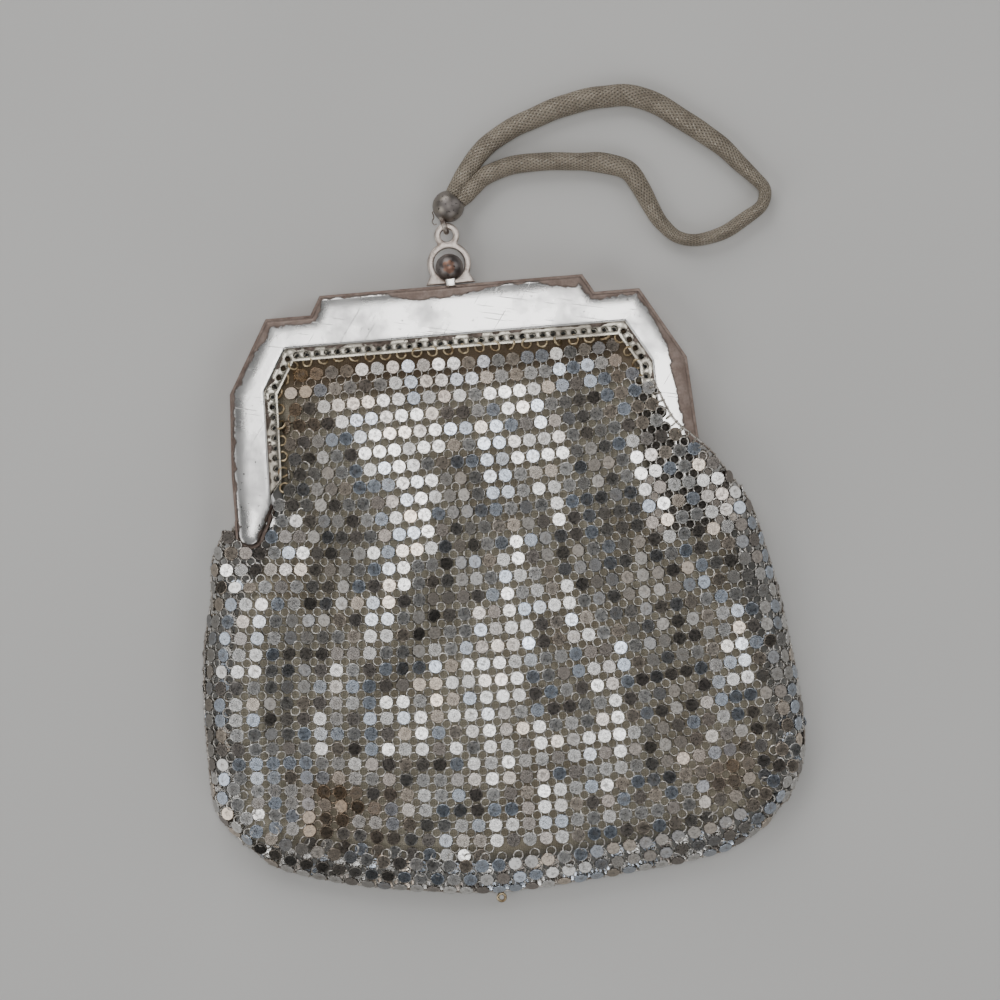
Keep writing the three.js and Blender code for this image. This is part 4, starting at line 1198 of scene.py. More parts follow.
class Jaws:
    """The two jaws of the frame and their rivets."""

    plate = WornPlate("worn_plate")
    inner_plate = WornPlate(
        "pierced_plate", (0.5, 0.47, 0.4), (0.27, 0.24, 0.2), (0.12, 0.095, 0.075), ragged=4.5)
    rivet = WireMetal("rivet_metal")
    dome_width = 3.2

    def __init__(self, drawing: Drawing) -> None:
        """Keeps the drawing's place."""
        self.drawing = drawing
        self.form = JawForm()

    def wear(self, mesh: bpy.types.Mesh, outline: np.ndarray, reach: float | None, dome: float = 0) -> None:
        """Writes how far each point lies inside the border of the plate, and rounds the face off.

        Args:
            mesh: The jaw's mesh.
            outline: The jaw's outer edge.
            reach: How deep the wear reaches all along, or None to take it from the table.
            dome: How far the face falls away at its outer edge.
        """
        whole = np.empty(len(mesh.vertices) * 3)
        mesh.vertices.foreach_get("co", whole)
        whole = whole.reshape(-1, 3)
        points = whole[:, :2]
        starts, steps = outline[:-1], np.diff(outline, axis=0)
        lengths = np.linalg.norm(steps, axis=1)
        share = np.sum((points[:, None] - starts) * steps, axis=2) / lengths ** 2
        share = np.clip(share, 0, 1)
        apart = np.linalg.norm(points[:, None] - starts - share[..., None] * steps, axis=2)
        nearest = np.argmin(apart, axis=1)
        rows = np.arange(len(points))
        before = np.concatenate([[0], np.cumsum(lengths)])
        along = before[-1] / 2 - (before[nearest] + share[rows, nearest] * lengths[nearest])
        width = WEAR.line("along", "width")(along) if reach is None else np.full(len(points), reach)
        inside = apart[rows, nearest]
        mesh.attributes.new("wear", "FLOAT", "POINT").data.foreach_set("value", inside - width)
        upper = whole[:, 2] > SIZES.frame_depth - self.form.face_sheet - 0.2
        whole[:, 2] -= upper * dome * np.clip(1 - inside / self.dome_width, 0, 1) ** 2
        mesh.vertices.foreach_set("co", whole.ravel())

    def jaw(self, name: str, overhang: float, lug_outer: float, side: Side) -> None:
        """One jaw: its face, its rim, the pierced strip and the lugs for the rivets.

        Args:
            name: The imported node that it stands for.
            overhang: How far it stands out past the front jaw.
            lug_outer: The outer face of its lugs.
            side: Which jaw it is.
        """
        form, down = self.form, side is Side.BACK

        def levels(start: float, end: float) -> tuple[float, float]:
            """Heights measured in from the jaw's face."""
            return (start, end) if down else (SIZES.frame_depth - end, SIZES.frame_depth - start)

        outline = offset_line(form.outer(), -overhang)
        shape = Shape()
        face = np.vstack([outline, form.groove()[::-1]])
        shape.slab(face, [], *levels(0, form.face_sheet), form.edge_radius, 4, down)
        rim = np.vstack([offset_line(outline, 0.02), offset_line(outline, form.rim_sheet)[::-1]])
        shape.slab(rim, [], *levels(form.edge_radius, SIZES.jaw_depth), 0.1, 1, not down)
        shape.diced(0.8)
        low, high = levels(
            SIZES.jaw_depth - form.face_sheet, SIZES.jaw_depth + SIZES.gap / 2 + form.lug_reach)
        for way in (-1, 1):
            across = sorted((way * lug_outer, way * (lug_outer - form.lug_sheet)))
            near, far = -form.pin_drop - form.lug_width / 2, -form.pin_drop + form.lug_width / 2
            shape.block((across[0], near, low), (across[1], far, high))
        mesh = shape.mesh(f"{name}_plate")
        self.wear(mesh, outline, 1.1 if down else None, 0 if down else 0.4)
        self.drawing.piece(mesh, self.plate, "silver_plate", [name])
        strip = Shape()
        strip.slab(*form.strip(), *levels(form.strip_step, form.strip_step + form.strip_sheet), 0.16, 2, down)
        mesh = strip.mesh(f"{name}_pierced_strip")
        self.wear(mesh, form.groove(), 0.4)
        self.drawing.piece(mesh, self.inner_plate, "silver_plate")

    def build(self) -> None:
        """Builds both jaws and dresses the rivets."""
        form = self.form
        self.jaw("jaw_front", 0, form.arm_half - form.rim_sheet + form.lug_sheet, Side.FRONT)
        self.jaw("jaw_back", SIZES.overhang, form.arm_half + SIZES.overhang, Side.BACK)
        for name in ("hinge_pin_left", "hinge_pin_right"):
            rivet = bpy.data.objects[name]
            rivet.data.materials.clear()
            rivet.data.materials.append(self.rivet.material())


@dataclass
class Clasp:
    """The keyhole plate, the ball in its ring and the ball's stub."""

    drawing: Drawing
    foot_y: float = 1.1
    foot_half: float = 5.5
    neck_rise: float = 2.2
    ring_y: float = 5.6
    ring_radius: float = 4.9
    ring_bore: float = 3.5
    eye_y: float = 12.0
    eye_radius: float = 2.8
    eye_bore: float = 1.45
    ball_radius: float = 3.1
    ball_y: float = 4.7
    ball_z: float = 4.7
    stub_half: float = 1.1

    plate = WireMetal("clasp_plate_metal", (0.66, 0.58, 0.52), (0.36, 0.28, 0.23), 0.36, 330, 0.6)
    polish = DarkPolish("ball_polish", (0.2, 0.18, 0.175), spot=0.0073)
    bright = WireMetal("stub_metal", (0.86, 0.83, 0.78), (0.7, 0.62, 0.55), 0.25, 300, 0.75)

    def plate_outline(self) -> np.ndarray:
        """The keyhole plate's outline."""
        apart = self.eye_y - self.ring_y
        rise = (apart ** 2 + self.ring_radius ** 2 - self.eye_radius ** 2) / (2 * apart)
        reach = math.sqrt(self.ring_radius ** 2 - rise ** 2)
        low = math.degrees(math.asin((self.foot_y + self.neck_rise - self.ring_y) / self.ring_radius))
        waist = math.degrees(math.atan2(rise, reach))
        eye = math.degrees(math.atan2(rise - apart, reach))
        right = np.vstack([
            [(self.foot_half, self.foot_y)],
            circle(0, self.ring_y, self.ring_radius, 22, low, waist - 4 - low),
            circle(0, self.eye_y, self.eye_radius, 18, eye + 7, 90 - eye - 7),
        ])
        return np.vstack([right, right[-2::-1] * (-1, 1)])

    def build(self) -> None:
        """Builds the clasp's three pieces."""
        plate = Shape()
        holes = [circle(0, self.ring_y, self.ring_bore, 44), circle(0, self.eye_y, self.eye_bore, 28)]
        plate.slab(self.plate_outline(), holes, SIZES.plate_low, SIZES.plate_high, 0.28)
        self.drawing.piece(plate.mesh("clasp_keyhole_plate"), self.plate, "worn_metal", ["clasp_plate"])
        ball = Shape()
        place = Matrix.Translation((0, self.ball_y, self.ball_z))
        bmesh.ops.create_uvsphere(
            ball.bm, u_segments=40, v_segments=24, radius=self.ball_radius, matrix=place)
        self.drawing.piece(ball.mesh("clasp_dark_ball", 60), self.polish, "tarnish", ["clasp_ball"])
        stub = Shape()
        inner, level = self.ball_y - self.ball_radius / 2, self.ball_z + 0.5
        tongue = np.array([(-self.stub_half, SIZES.gap), (self.stub_half, SIZES.gap),
                           (self.stub_half, inner), (-self.stub_half, inner)])
        stub.slab(tongue, [], level, level + 1, 0.3)
        self.drawing.piece(stub.mesh("clasp_stub"), self.bright, "worn_metal")


@dataclass
class StrapSet:
    """The knitted strap, the bead that holds its ends, and the bead's wire link."""

    drawing: Drawing
    width: float = 4.2
    step: float = 0.3
    sides: int = 32
    relief: float = 0.05
    bead: tuple[float, float, float] = (0.9, 18.5, 3.5)
    bead_radius: float = 3.58
    socket: float = 2.45
    socket_floor: float = 0.5
    bead_turn: float = 45.0
    wire: float = 0.62
    link_low: float = 12.75
    link_half: float = 1.2
    link_lean: float = 0.25

    knit = KnitWire("strap_knit")
    polish = DarkPolish("bead_polish", (0.3, 0.27, 0.235))
    metal = WireMetal("link_metal", (0.5, 0.45, 0.4), (0.16, 0.12, 0.1))

    def route(self) -> np.ndarray:
        """The strap's middle line, as close points."""
        points = np.array(STRAP_ROUTE)
        ends = np.vstack([2 * points[0] - points[1], points, 2 * points[-1] - points[-2]])
        found = []
        for four in zip(ends, ends[1:], ends[2:], ends[3:]):
            roots = [math.sqrt(np.linalg.norm(after - before)) for before, after in zip(four, four[1:])]
            knots = np.concatenate([[0], np.cumsum(roots)])
            for t in np.linspace(knots[1], knots[2], 24, endpoint=False):
                rows = list(four)
                for reach in (1, 2):
                    rows = [(rows[i] * (knots[i + reach] - t) + rows[i + 1] * (t - knots[i]))
                            / (knots[i + reach] - knots[i]) for i in range(len(rows) - 1)]
                found.append((rows[0] * (knots[2] - t) + rows[1] * (t - knots[1])) / (knots[2] - knots[1]))
        found.append(points[-1])
        return spaced(np.array(found), self.step, 0)

    def build_strap(self) -> None:
        """Knits the strap's tube along its route."""
        path = self.route()
        along = np.linspace(0, 1, len(path))
        widths = STRAP_FORM.line("along", "width")(along) * self.width / 2
        heights = STRAP_FORM.line("along", "height")(along) * self.width / 2
        shape = Shape()
        wall = shape.sweep(path, widths, self.sides, heights)
        shape.bm.verts.index_update()
        around = np.zeros((len(shape.bm.verts), 3))
        for vert, i, angle in wall:
            wave = math.sin(along[i] * 90 + 2 * math.sin(angle)) * math.cos(along[i] * 37 + angle)
            vert.co += (vert.co - Vector(path[i])) * self.relief * wave
            vert.co.z = max(vert.co.z, 0.05)
            around[vert.index] = (math.cos(angle), math.sin(angle), i * self.step * MM)
        mesh = shape.mesh("knitted_strap", 180)
        mesh.attributes.new("around", "FLOAT_VECTOR", "POINT").data.foreach_set("vector", around.ravel())
        strap = self.drawing.piece(mesh, self.knit, "knit_wire", ["strap"])
        self.drawing.metres(path[0])
        [self.drawing.metres(point) for point in path[::6]] + [self.drawing.metres(path[-1])]

    def build(self) -> None:
        """Builds the strap, the bead, the link and the bent end of its wire."""
        self.build_strap()
        bead = Shape()
        reach = math.degrees(math.acos(self.socket / self.bead_radius))
        arc = circle(0, 0, self.bead_radius, 26, -90, 90 + reach)
        lip = [(self.socket - 0.12, arc[-1][1] + 0.02), (self.socket - 0.2, arc[-1][1] - 0.2)]
        profile = [(0, -self.bead_radius), *arc[1:], *lip,
                   (self.socket - 0.2, self.socket_floor), (0, self.socket_floor)]
        turn = Matrix.Rotation(math.radians(self.bead_turn - 90), 4, "Z")
        turn = turn @ Matrix.Rotation(-math.pi / 2, 4, "X")
        bead.turned(profile, 48, Matrix.Translation(self.bead) @ turn)
        self.drawing.piece(bead.mesh("dark_bead", 50), self.polish, "tarnish", ["strap_bead"])
        link, (x, y, level) = Shape(), self.bead
        turn = circle(0, 0, self.link_half, 20, 180, 180)
        bend = [(0, self.link_low + self.link_half + b, level + a) for a, b in turn]
        top = y - self.bead_radius + 1.6
        path = np.array([(0, top, level - self.link_half), *bend, (0, top, level + self.link_half)])
        path[:, 0] -= self.link_lean * (path[:, 1] - self.link_low)
        path = spaced(path, 0.25, 0)
        link.sweep(path, np.full(len(path), self.wire), 14)
        self.drawing.piece(link.mesh("bead_link", 60), self.metal, "worn_metal", ["strap_link"])
        hook = Shape()
        bends = np.array([(-1.9, 18.2, 3.5), (-2.8, 17.4, 3.5), (-2.6, 16.7, 3.5), (-2.55, 16.2, 3.4),
                          (-2.95, 15.6, 3.3), (-3.05, 15.2, 3.2), (-2.6, 14.65, 3.2), (-2.0, 14.75, 3.3)])
        path = spaced(bends, 0.3, 0)
        hook.sweep(path, np.full(len(path), 0.13), 8)
        self.drawing.piece(hook.mesh("bead_wire_end", 60), self.metal, "worn_metal")


class Tones:
    """Draws the colours of discs and rings by chance, and paints highlight and shade into the discs' colours.
    """

    silver = ((0.86, 0.85, 0.83), 0.38)
    blue = ((0.6, 0.68, 0.8), 0.26)
    warm = ((0.8, 0.68, 0.56), 0.14)
    dark = ((0.3, 0.265, 0.24), 0.22)
    # Painted highlight and painted shade that the sheen strokes mix into the discs' colours
    shine = (0.93, 0.92, 0.9)
    shade = (0.2, 0.185, 0.165)
    # Where the discs and rings are browned: x, y, reach, strength
    brown_patches = ((-35, -17, 7, 0.8), (-38, -26, 6, 0.7), (-36, -114, 7, 0.8), (-26, -116, 6, 0.4),
              (0, -15, 30, 0.12), (52, -112, 8, 0.5), (-24, -18, 10, 0.3), (38, -18, 6, 0.4))
    brown = (0.36, 0.23, 0.12)

    def __init__(self, chance: np.random.Generator) -> None:
        """Keeps the source of the random numbers."""
        self.chance = chance

    def browned(self, spots: Spots, colours: np.ndarray) -> np.ndarray:
        """Browns the colours around the listed places."""
        share = np.zeros(len(spots))
        for x, y, reach, strength in self.brown_patches:
            apart = (spots.place[:, 0] - x) ** 2 + (spots.place[:, 1] - y) ** 2
            share = np.maximum(share, strength * np.exp(-apart / reach ** 2))
        share = np.clip(share * self.chance.uniform(0.6, 1.3, len(spots)), 0, 1)[:, None]
        return colours * (1 - share) + np.array(self.brown) * share

    def discs(self, spots: Spots) -> np.ndarray:
        """A colour for each disc, with painted highlight where the sheen strokes are bright and painted shade
        over the others, deepest where the strokes are dark.
        """
        kinds = (self.silver, self.blue, self.warm, self.dark)
        shares = np.array([share for _, share in kinds])
        picked = self.chance.choice(len(kinds), len(spots), p=shares / shares.sum())
        colours = np.array([colour for colour, _ in kinds])[picked]
        colours = colours * self.chance.uniform(0.72, 1.08, (len(spots), 1))
        sheen = np.where(spots.normal[:, 2] > 0, spots.sheen(), 0)[:, None]
        bright, dim = np.clip(sheen, 0, 1), np.clip(-sheen, 0, 1)
        # Painted highlight: a near white, mixed in by chance where the sheen strokes are bright
        share = bright * self.chance.uniform(0, 0.7, bright.shape)
        colours = colours + (np.array(self.shine) - colours) * share
        # Painted shade: a dark grey over every disc that is not fully bright, more where the strokes are dark
        share = np.clip(0.25 + dim, 0, 0.85) * (1 - bright)
        colours = colours + (np.array(self.shade) - colours) * share
        return self.browned(spots, colours)

    def plain(self, spots: Spots, colour: Colour, spread: float = 0.25) -> np.ndarray:
        """A colour near a given one for each ring."""
        share = self.chance.uniform(1 - spread, 1 + spread / 2, (len(spots), 1))
        return self.browned(spots, np.array(colour) * share)


@dataclass
class Lattice:
    """Where the discs and rings of the mesh lie on one side of the bag."""

    bag: BagForm
    side: Side
    frame: BVHTree
    disc_radius: float = 1.56
    band_overlap: float = 3.05
    band_reach: float = 2.3
    tuck: float = 0.4
    first_row: float = 2.1
    fine: float = 0.15
    wall_pitch: float = 3.6
    lean: tuple[tuple[float, float], ...] = ((0, -1), (0.15, 0.9), (0.35, 3.4), (0.7, 4.2), (1, 3.6))
    band_depths: tuple[float, ...] = (1.35, 4.95, 8.5)
    band_pitch: float = 3.7

    def middle_x(self, row: np.ndarray) -> np.ndarray:
        """The x of the middle column of discs, at shares of the way down."""
        return np.interp(row, *zip(*self.lean))

    def rows(self) -> list[tuple[float, float]]:
        """How far down each row of discs lies, and its y in the middle."""
        pitch = ROW_PITCH.line("at", "pitch")
        found, y = [], SIZES.mesh_top - self.first_row
        while y > SIZES.mesh_top - self.bag.drop:
            row = (SIZES.mesh_top - y) / self.bag.drop
            found.append((row, y))
            y -= float(pitch(np.array([row]))[0])
        return found

    def row_line(self, row: float, middle_y: float) -> tuple[np.ndarray, np.ndarray, np.ndarray]:
        """One row's line over the surface and down its side walls.

        Args:
            row: How far down the row lies.
            middle_y: Its y at the middle column.

        Returns:
            The line's points, the way that the columns run at each, and how many discs lie
            between the middle column and each point.
        """
        x = np.arange(-72, 76, self.fine)
        rise = np.cumsum(np.tan(np.radians(ROW_TILT.along(row, x)))) * self.fine
        middle_x = self.middle_x(np.array(row))
        y = middle_y + rise - np.interp(middle_x, x, rise)
        front, back, inside = self.bag.heights(x, y)
        z = front if self.side is Side.FRONT else back
        held = np.flatnonzero(inside >= 0)
        if len(held) < 10:
            return np.zeros((0, 3)), np.zeros((0, 3)), np.zeros(0)
        x, y, z, middle, depth = x[held], y[held], z[held], ((front + back) / 2)[held], inside[held]
        step = 0.5
        slope = (self.bag.surface(x, y - step, self.side)
                 - self.bag.surface(x, y + step, self.side)) / (2 * step)
        slope = np.where(depth > 1, np.clip(slope, -1.5, 1.5), 0)
        column = np.column_stack([np.zeros_like(x), -np.ones_like(x), slope])
        points = np.column_stack([x, y, z])
        walls = [np.column_stack([np.full(4, x[i]), np.full(4, y[i]), np.linspace(middle[i], z[i], 5)[:4]])
                 for i in (0, -1)]
        down = np.tile([0.0, -1.0, 0.0], (4, 1))
        line = np.vstack([walls[0], points, walls[1][::-1]])
        steps = np.diff(line, axis=0)
        steep = np.concatenate([np.ones(4), np.where(depth[1:] < 4, 1.0, 0.25), np.ones(4)])
        run = np.sqrt(steps[:, 0] ** 2 + steps[:, 1] ** 2 + steep * steps[:, 2] ** 2)
        pitch = np.full(len(run), self.wall_pitch)
        pitch[4:-4] = COLUMN_PITCH.along(row, x[1:])
        count = np.concatenate([[0], np.cumsum(run / pitch)])
        count -= np.interp(middle_x, line[4:-4, 0], count[4:-4])
        return line, np.vstack([down, column, down]), count

    def spots_along(self, points: np.ndarray, columns: np.ndarray,
                    at: np.ndarray, along: np.ndarray) -> Spots:
        """Places on a row's line.

        Args:
            points: The line's points.
            columns: The way that the columns run at each of them.
            at: How far along the line each place is.
            along: How far along the line each point is.

        Returns:
            The places.
        """
        def read(values: np.ndarray, where: np.ndarray) -> np.ndarray:
            """Values between the line's points."""
            return np.column_stack([np.interp(where, along, values[:, i]) for i in range(3)])

        run = read(points, at + 0.17) - read(points, at - 0.17)
        column = read(columns, at)
        normal = np.cross(column, run) * self.side.value
        return Spots(read(points, at), normal / np.linalg.norm(normal, axis=1)[:, None], run)

    def interior(self) -> tuple[Spots, np.ndarray]:
        """The discs of the plain lattice, and each one's row and column."""
        found, numbers = [], []
        for k, (row, middle_y) in enumerate(self.rows()):
            points, columns, count = self.row_line(row, middle_y)
            if not len(points):
                continue
            js = np.arange(math.ceil(count[0] + 0.1), math.floor(count[-1] - 0.1) + 1)
            found.append(self.spots_along(points, columns, js, count))
            numbers.append(np.column_stack([np.full(len(js), k), js]))
        return self.together(found), np.vstack(numbers)

    @staticmethod
    def together(parts: Sequence[Spots]) -> Spots:
        """Several sets of places as one."""
        return Spots(*(np.vstack([getattr(part, name) for part in parts])
                       for name in ("place", "normal", "along")))

    def band(self, depth: float, phase: float) -> Spots:
        """A row of discs or rings that follows the bottom's edge round both corners.

        Args:
            depth: How far in from the edge it lies, measured over the surface.
            phase: Where its first piece lies, as a share of a step.

        Returns:
            The places.
        """
        side_rows, across = np.linspace(0.86, 1, 24), np.linspace(0, 1, 120)
        left, right = self.bag.edges(side_rows)
        bottom_left, bottom_right = (edge[0] for edge in self.bag.edges(np.array([1.0])))
        edge = np.vstack([
            np.column_stack([left, self.bag.level(side_rows, np.zeros(24))]),
            np.column_stack([bottom_left + (bottom_right - bottom_left) * across,
                             self.bag.level(np.ones(120), across)])[1:-1],
            np.column_stack([right, self.bag.level(side_rows, np.ones(24))])[::-1],
        ])
        edge = spaced(edge, 0.6, 0)
        run = np.gradient(edge, axis=0)
        window = np.ones(9) / 9
        run = np.column_stack([
            np.convolve(np.pad(run[:, i], 4, mode="edge"), window, mode="valid") for i in (0, 1)])
        inward = np.column_stack([-run[:, 1], run[:, 0]]) / np.linalg.norm(run, axis=1)[:, None]
        steps = np.arange(0.02, 16, 0.1)
        plan = edge[:, None, :] + inward[:, None, :] * steps[None, :, None]
        level = self.bag.surface(plan[..., 0].ravel(), plan[..., 1].ravel(), self.side)
        level = level.reshape(plan.shape[:2])
        rise = np.diff(level, axis=1)
        over = np.concatenate([np.zeros((len(edge), 1)), np.cumsum(np.hypot(0.1, rise), axis=1)], axis=1)
        place, ahead = [], []
        for i in range(len(edge)):
            d = np.interp((depth, depth + 0.5), over[i], steps)
            z = np.interp(d, steps, level[i])
            point = [*(edge[i] + inward[i] * d[0]), z[0]]
            place.append(point)
            ahead.append(np.array([*(edge[i] + inward[i] * d[1]), z[1]]) - point)
        place, ahead = np.array(place), np.array(ahead)
        along = np.concatenate([[0], np.cumsum(np.linalg.norm(np.diff(place, axis=0), axis=1))])
        at = np.arange(self.band_pitch * (0.5 + phase), along[-1] - self.band_pitch / 2, self.band_pitch)

        def read(values: np.ndarray, where: np.ndarray) -> np.ndarray:
            """Values between the line's points."""
            return np.column_stack([np.interp(where, along, values[:, i]) for i in range(3)])

        tangent = read(place, at + 0.5) - read(place, at - 0.5)
        normal = np.cross(tangent, read(ahead, at)) * self.side.value
        return Spots(read(place, at), normal / np.linalg.norm(normal, axis=1)[:, None], tangent)

    def clear_of_frame(self, spots: Spots) -> np.ndarray:
        """Which places are in front of the frame, seen from their side."""
        way = -self.side.value
        held = []
        for place in spots.place:
            free = True
            for x, y in ((0, 0), *circle(0, 0, self.disc_radius * 0.8, 6)):
                start = Vector((place[0] + x, place[1] + y, -way * 60))
                hit = self.frame.ray_cast(start, Vector((0, 0, way)))[0]
                free = free and (hit is None or (hit.z - place[2]) * way > -0.35)
            held.append(free)
        return np.array(held, bool)

    @staticmethod
    def far_from(spots: Spots, others: Spots, reach: float) -> np.ndarray:
        """Which places lie farther than a reach from all the others."""
        apart = np.linalg.norm(spots.place[:, None] - others.place[None], axis=2)
        return apart.min(axis=1) > reach

    def discs_and_rings(self) -> tuple[Spots, Spots, Spots]:
        """All the discs, all the rings and the under layer of discs of this side."""
        band = self.together([self.band(depth, 0.5 * (i % 2)) for i, depth in enumerate(self.band_depths)])
        plain, numbers = self.interior()
        under = ~self.far_from(plain, band, self.band_overlap)
        plain.place[under] -= plain.normal[under] * self.tuck
        inside = self.bag.heights(plain.place[:, 0], plain.place[:, 1])[2]
        over_arm = (plain.place[:, 0] > 38) & (plain.place[:, 1] > -45) & (inside < 0.8)
        mask = self.far_from(plain, band, self.band_reach) & self.clear_of_frame(plain) & ~over_arm
        discs = plain.kept(mask).joined(band)
        at = {tuple(number): i for i, number in enumerate(numbers.tolist())}
        place, normal, along = [], [], []
        for (k, j), i in at.items():
            four = [at[n] for n in ((k, j), (k, j + 1), (k + 1, j), (k + 1, j + 1)) if n in at]
            if len(four) < 3 or not mask[four].sum() >= 2:
                continue
            place.append(plain.place[four].mean(axis=0))
            normal.append(plain.normal[four].mean(axis=0))
            along.append(plain.along[i])
        rings = Spots(np.array(place), np.array(normal), np.array(along))
        inside = self.bag.heights(rings.place[:, 0], rings.place[:, 1])[2]
        over_arm = (rings.place[:, 0] > 38) & (rings.place[:, 1] > -48) & (inside < 1.6)
        rings = rings.kept(self.clear_of_frame(rings) & ~over_arm)
        between = [(a + b) / 2 for a, b in zip(self.band_depths, self.band_depths[1:])]
        between.append(self.band_depths[-1] + 1.85)
        edge_rings = self.together([self.band(depth, 0.5 * (i % 2) + 0.5) for i, depth in enumerate(between)])
        rings = rings.kept(self.far_from(rings, edge_rings, self.band_reach))
        return discs, rings.joined(edge_rings), self.under_fold(plain)

    def under_fold(self, plain: Spots) -> Spots:
        """The second layer of discs where the bag is folded over the right arm of the frame."""
        place = plain.place + (1.7, -1.8, 0)
        over = (place[:, 0] > 40.5) & (place[:, 1] > -58) & (place[:, 1] < -22)
        level = self.bag.surface(place[:, 0], place[:, 1], self.side)
        inside = self.bag.heights(place[:, 0], place[:, 1])[2]
        place[:, 2] = np.maximum(level - 1.0, SIZES.frame_depth + 0.35)
        over = over & (inside > 1.5) & (level - place[:, 2] > 0.5)
        return Spots(place, plain.normal, plain.along).kept(over)


class DiscMesh:
    """The bag's mesh: flat discs held by small rings, joined at the sides and the bottom by a wire."""

    disc_sides = 14
    disc_sheet = 0.35
    disc_edge = 0.13
    ring_radius = 1.06
    ring_wire = 0.2
    upright = 0.85
    disc_lean = 0.24
    ring_lean = 0.2
    # Painted shade: the dark tone of the second layer of discs under the fold, standing for the front layer's
    # shadow
    under_fold_shade_tone = (0.13, 0.115, 0.1)
    disc_metal = DiscMetal("disc_metal", rough=0.24)
    ring_metal = DiscMetal("ring_metal", rough=0.26, scratched=0.4)
    seam_metal = WireMetal("seam_metal", (0.66, 0.62, 0.57), (0.26, 0.21, 0.17))

    def __init__(self, drawing: Drawing, bag: BagForm) -> None:
        """Keeps the drawing's place and the bag's form."""
        self.drawing = drawing
        self.bag = bag
        self.chance = np.random.default_rng(SEED)
        self.tones = Tones(self.chance)

    def disc(self) -> bpy.types.Mesh:
        """One flat disc with a rounded rim, its face at z 0."""
        shape = Shape()
        radius = Lattice.disc_radius
        shape.slab(circle(0, 0, radius, self.disc_sides), [], -self.disc_sheet, 0, self.disc_edge, 2)
        flat = [face for face in shape.bm.faces if abs(face.normal.z) > 0.98]
        top = [face for face in flat if face.calc_center_median().z > -0.01]
        bmesh.ops.dissolve_faces(shape.bm, faces=top)
        mesh = shape.mesh("disc", None)
        flat = mesh.uv_layers.new(name="disc").data
        for face in mesh.polygons:
            face.use_smooth = abs(face.normal.z) < 0.95
            for loop in face.loop_indices:
                flat[loop].uv = mesh.vertices[mesh.loops[loop].vertex_index].co.xy / radius
        return mesh

    def ring(self, radius: float, wire: float, tilt: float = 0) -> bpy.types.Mesh:
        """One ring of wire."""
        shape = Shape()
        shape.ring(radius, wire, 12, 5, Matrix.Rotation(math.radians(tilt), 4, "X"))
        return shape.mesh("ring", 180)

    def build_side(self, side: Side, frame: BVHTree) -> None:
        """Builds one side's discs and rings."""
        name = side.name.lower()
        discs, rings, under = Lattice(self.bag, side, frame).discs_and_rings()
        sunk = 0.0 if side is Side.FRONT else 0.16
        discs = discs.sunk(sunk).shaken(self.chance, 0.05 if side is Side.FRONT else 0.03, 0.12)
        if side is Side.FRONT:
            discs = discs.leaned(self.upright, self.disc_lean)
            rings = rings.leaned(self.upright, self.ring_lean)
        rings = rings.sunk(0.42 + sunk).shaken(self.chance, 0.1 if side is Side.FRONT else 0.04, 0.1)
        discs = discs.lifted(Lattice.disc_radius, self.disc_sheet)
        rings = rings.lifted(self.ring_radius, 0, self.ring_wire)
        tones = self.tones.discs(discs)
        if side is Side.FRONT:
            discs = discs.joined(under)
            # The discs under the fold take the dark tone as painted shade
            tones = np.vstack([tones, self.tones.plain(under, self.under_fold_shade_tone)])
        mesh = copies(f"{name}_discs", self.disc(), discs, tones)
        nodes = ["mesh_bag"] if side is Side.FRONT else []
        self.drawing.piece(mesh, self.disc_metal, "disc_mesh", nodes)
        tones = self.tones.plain(rings, (0.74, 0.71, 0.66))
        mesh = copies(f"{name}_rings", self.ring(self.ring_radius, self.ring_wire), rings, tones)
        self.drawing.piece(mesh, self.ring_metal, "disc_mesh")
        LOG.info("%s: %d discs and %d rings", name, len(discs), len(rings))

    def edge_line(self) -> np.ndarray:
        """The line of the bag's side and bottom edges, from the left arm round to the right one."""
        rows, across = np.linspace(0.33, 1, 140), np.linspace(0, 1, 160)
        folded = np.linspace(0.09, 1, 180)
        left, right = self.bag.edges(rows)[0], self.bag.edges(folded)[1]
        ends = self.bag.edges(np.array([1.0]))
        bottom = np.column_stack([
            ends[0] + (ends[1] - ends[0]) * across, self.bag.level(np.ones(160), across)])
        plan = np.vstack([
            np.column_stack([left, self.bag.level(rows, np.zeros(140))]),
            bottom[1:-1],
            np.column_stack([right, self.bag.level(folded, np.ones(180))])[::-1],
        ])
        front, back, _ = self.bag.heights(plan[:, 0], plan[:, 1])
        return np.column_stack([plan, (front + back) / 2])

    def build_seam(self) -> None:
        """Builds the wire and the rings that join the two sides along the edges."""
        line = spaced(self.edge_line(), 0.7, 0)
        shape = Shape()
        wave = 0.12 * np.sin(np.arange(len(line)) * 1.7)
        path = line + np.column_stack([wave * 0, wave * 0, wave])
        shape.sweep(path, np.full(len(path), 0.24), 7)
        self.drawing.piece(shape.mesh("seam_wire", 60), self.seam_metal, "disc_mesh")
        places = spaced(self.edge_line(), 1.9, 1.2)
        run = np.gradient(places, axis=0)
        aside = np.cross(run, (0, 0, 1.0))
        aside /= np.linalg.norm(aside, axis=1)[:, None]
        rings = Spots(places - aside * 0.55, run, np.tile([0, 0, 1.0], (len(places), 1)))
        rings = rings.shaken(self.chance, 0.25, 0.1).lifted(1.02, 0)
        mesh = copies("edge_rings", self.ring(0.85, 0.17), rings, self.tones.plain(rings, (0.6, 0.56, 0.5)))
        self.drawing.piece(mesh, self.ring_metal, "disc_mesh")

    def build_tail_ring(self) -> None:
        """Builds the small ring below the middle of the bottom edge."""
        low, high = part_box("bottom_ring")
        middle = ((low + high) / 2 - self.drawing.origin) / MM
        shape = Shape()
        shape.ring(0.85, 0.32, 28, 10, Matrix.Translation(middle))
        self.drawing.piece(shape.mesh("tail_ring", 180), GoldRings.gold, "brass", ["bottom_ring"])

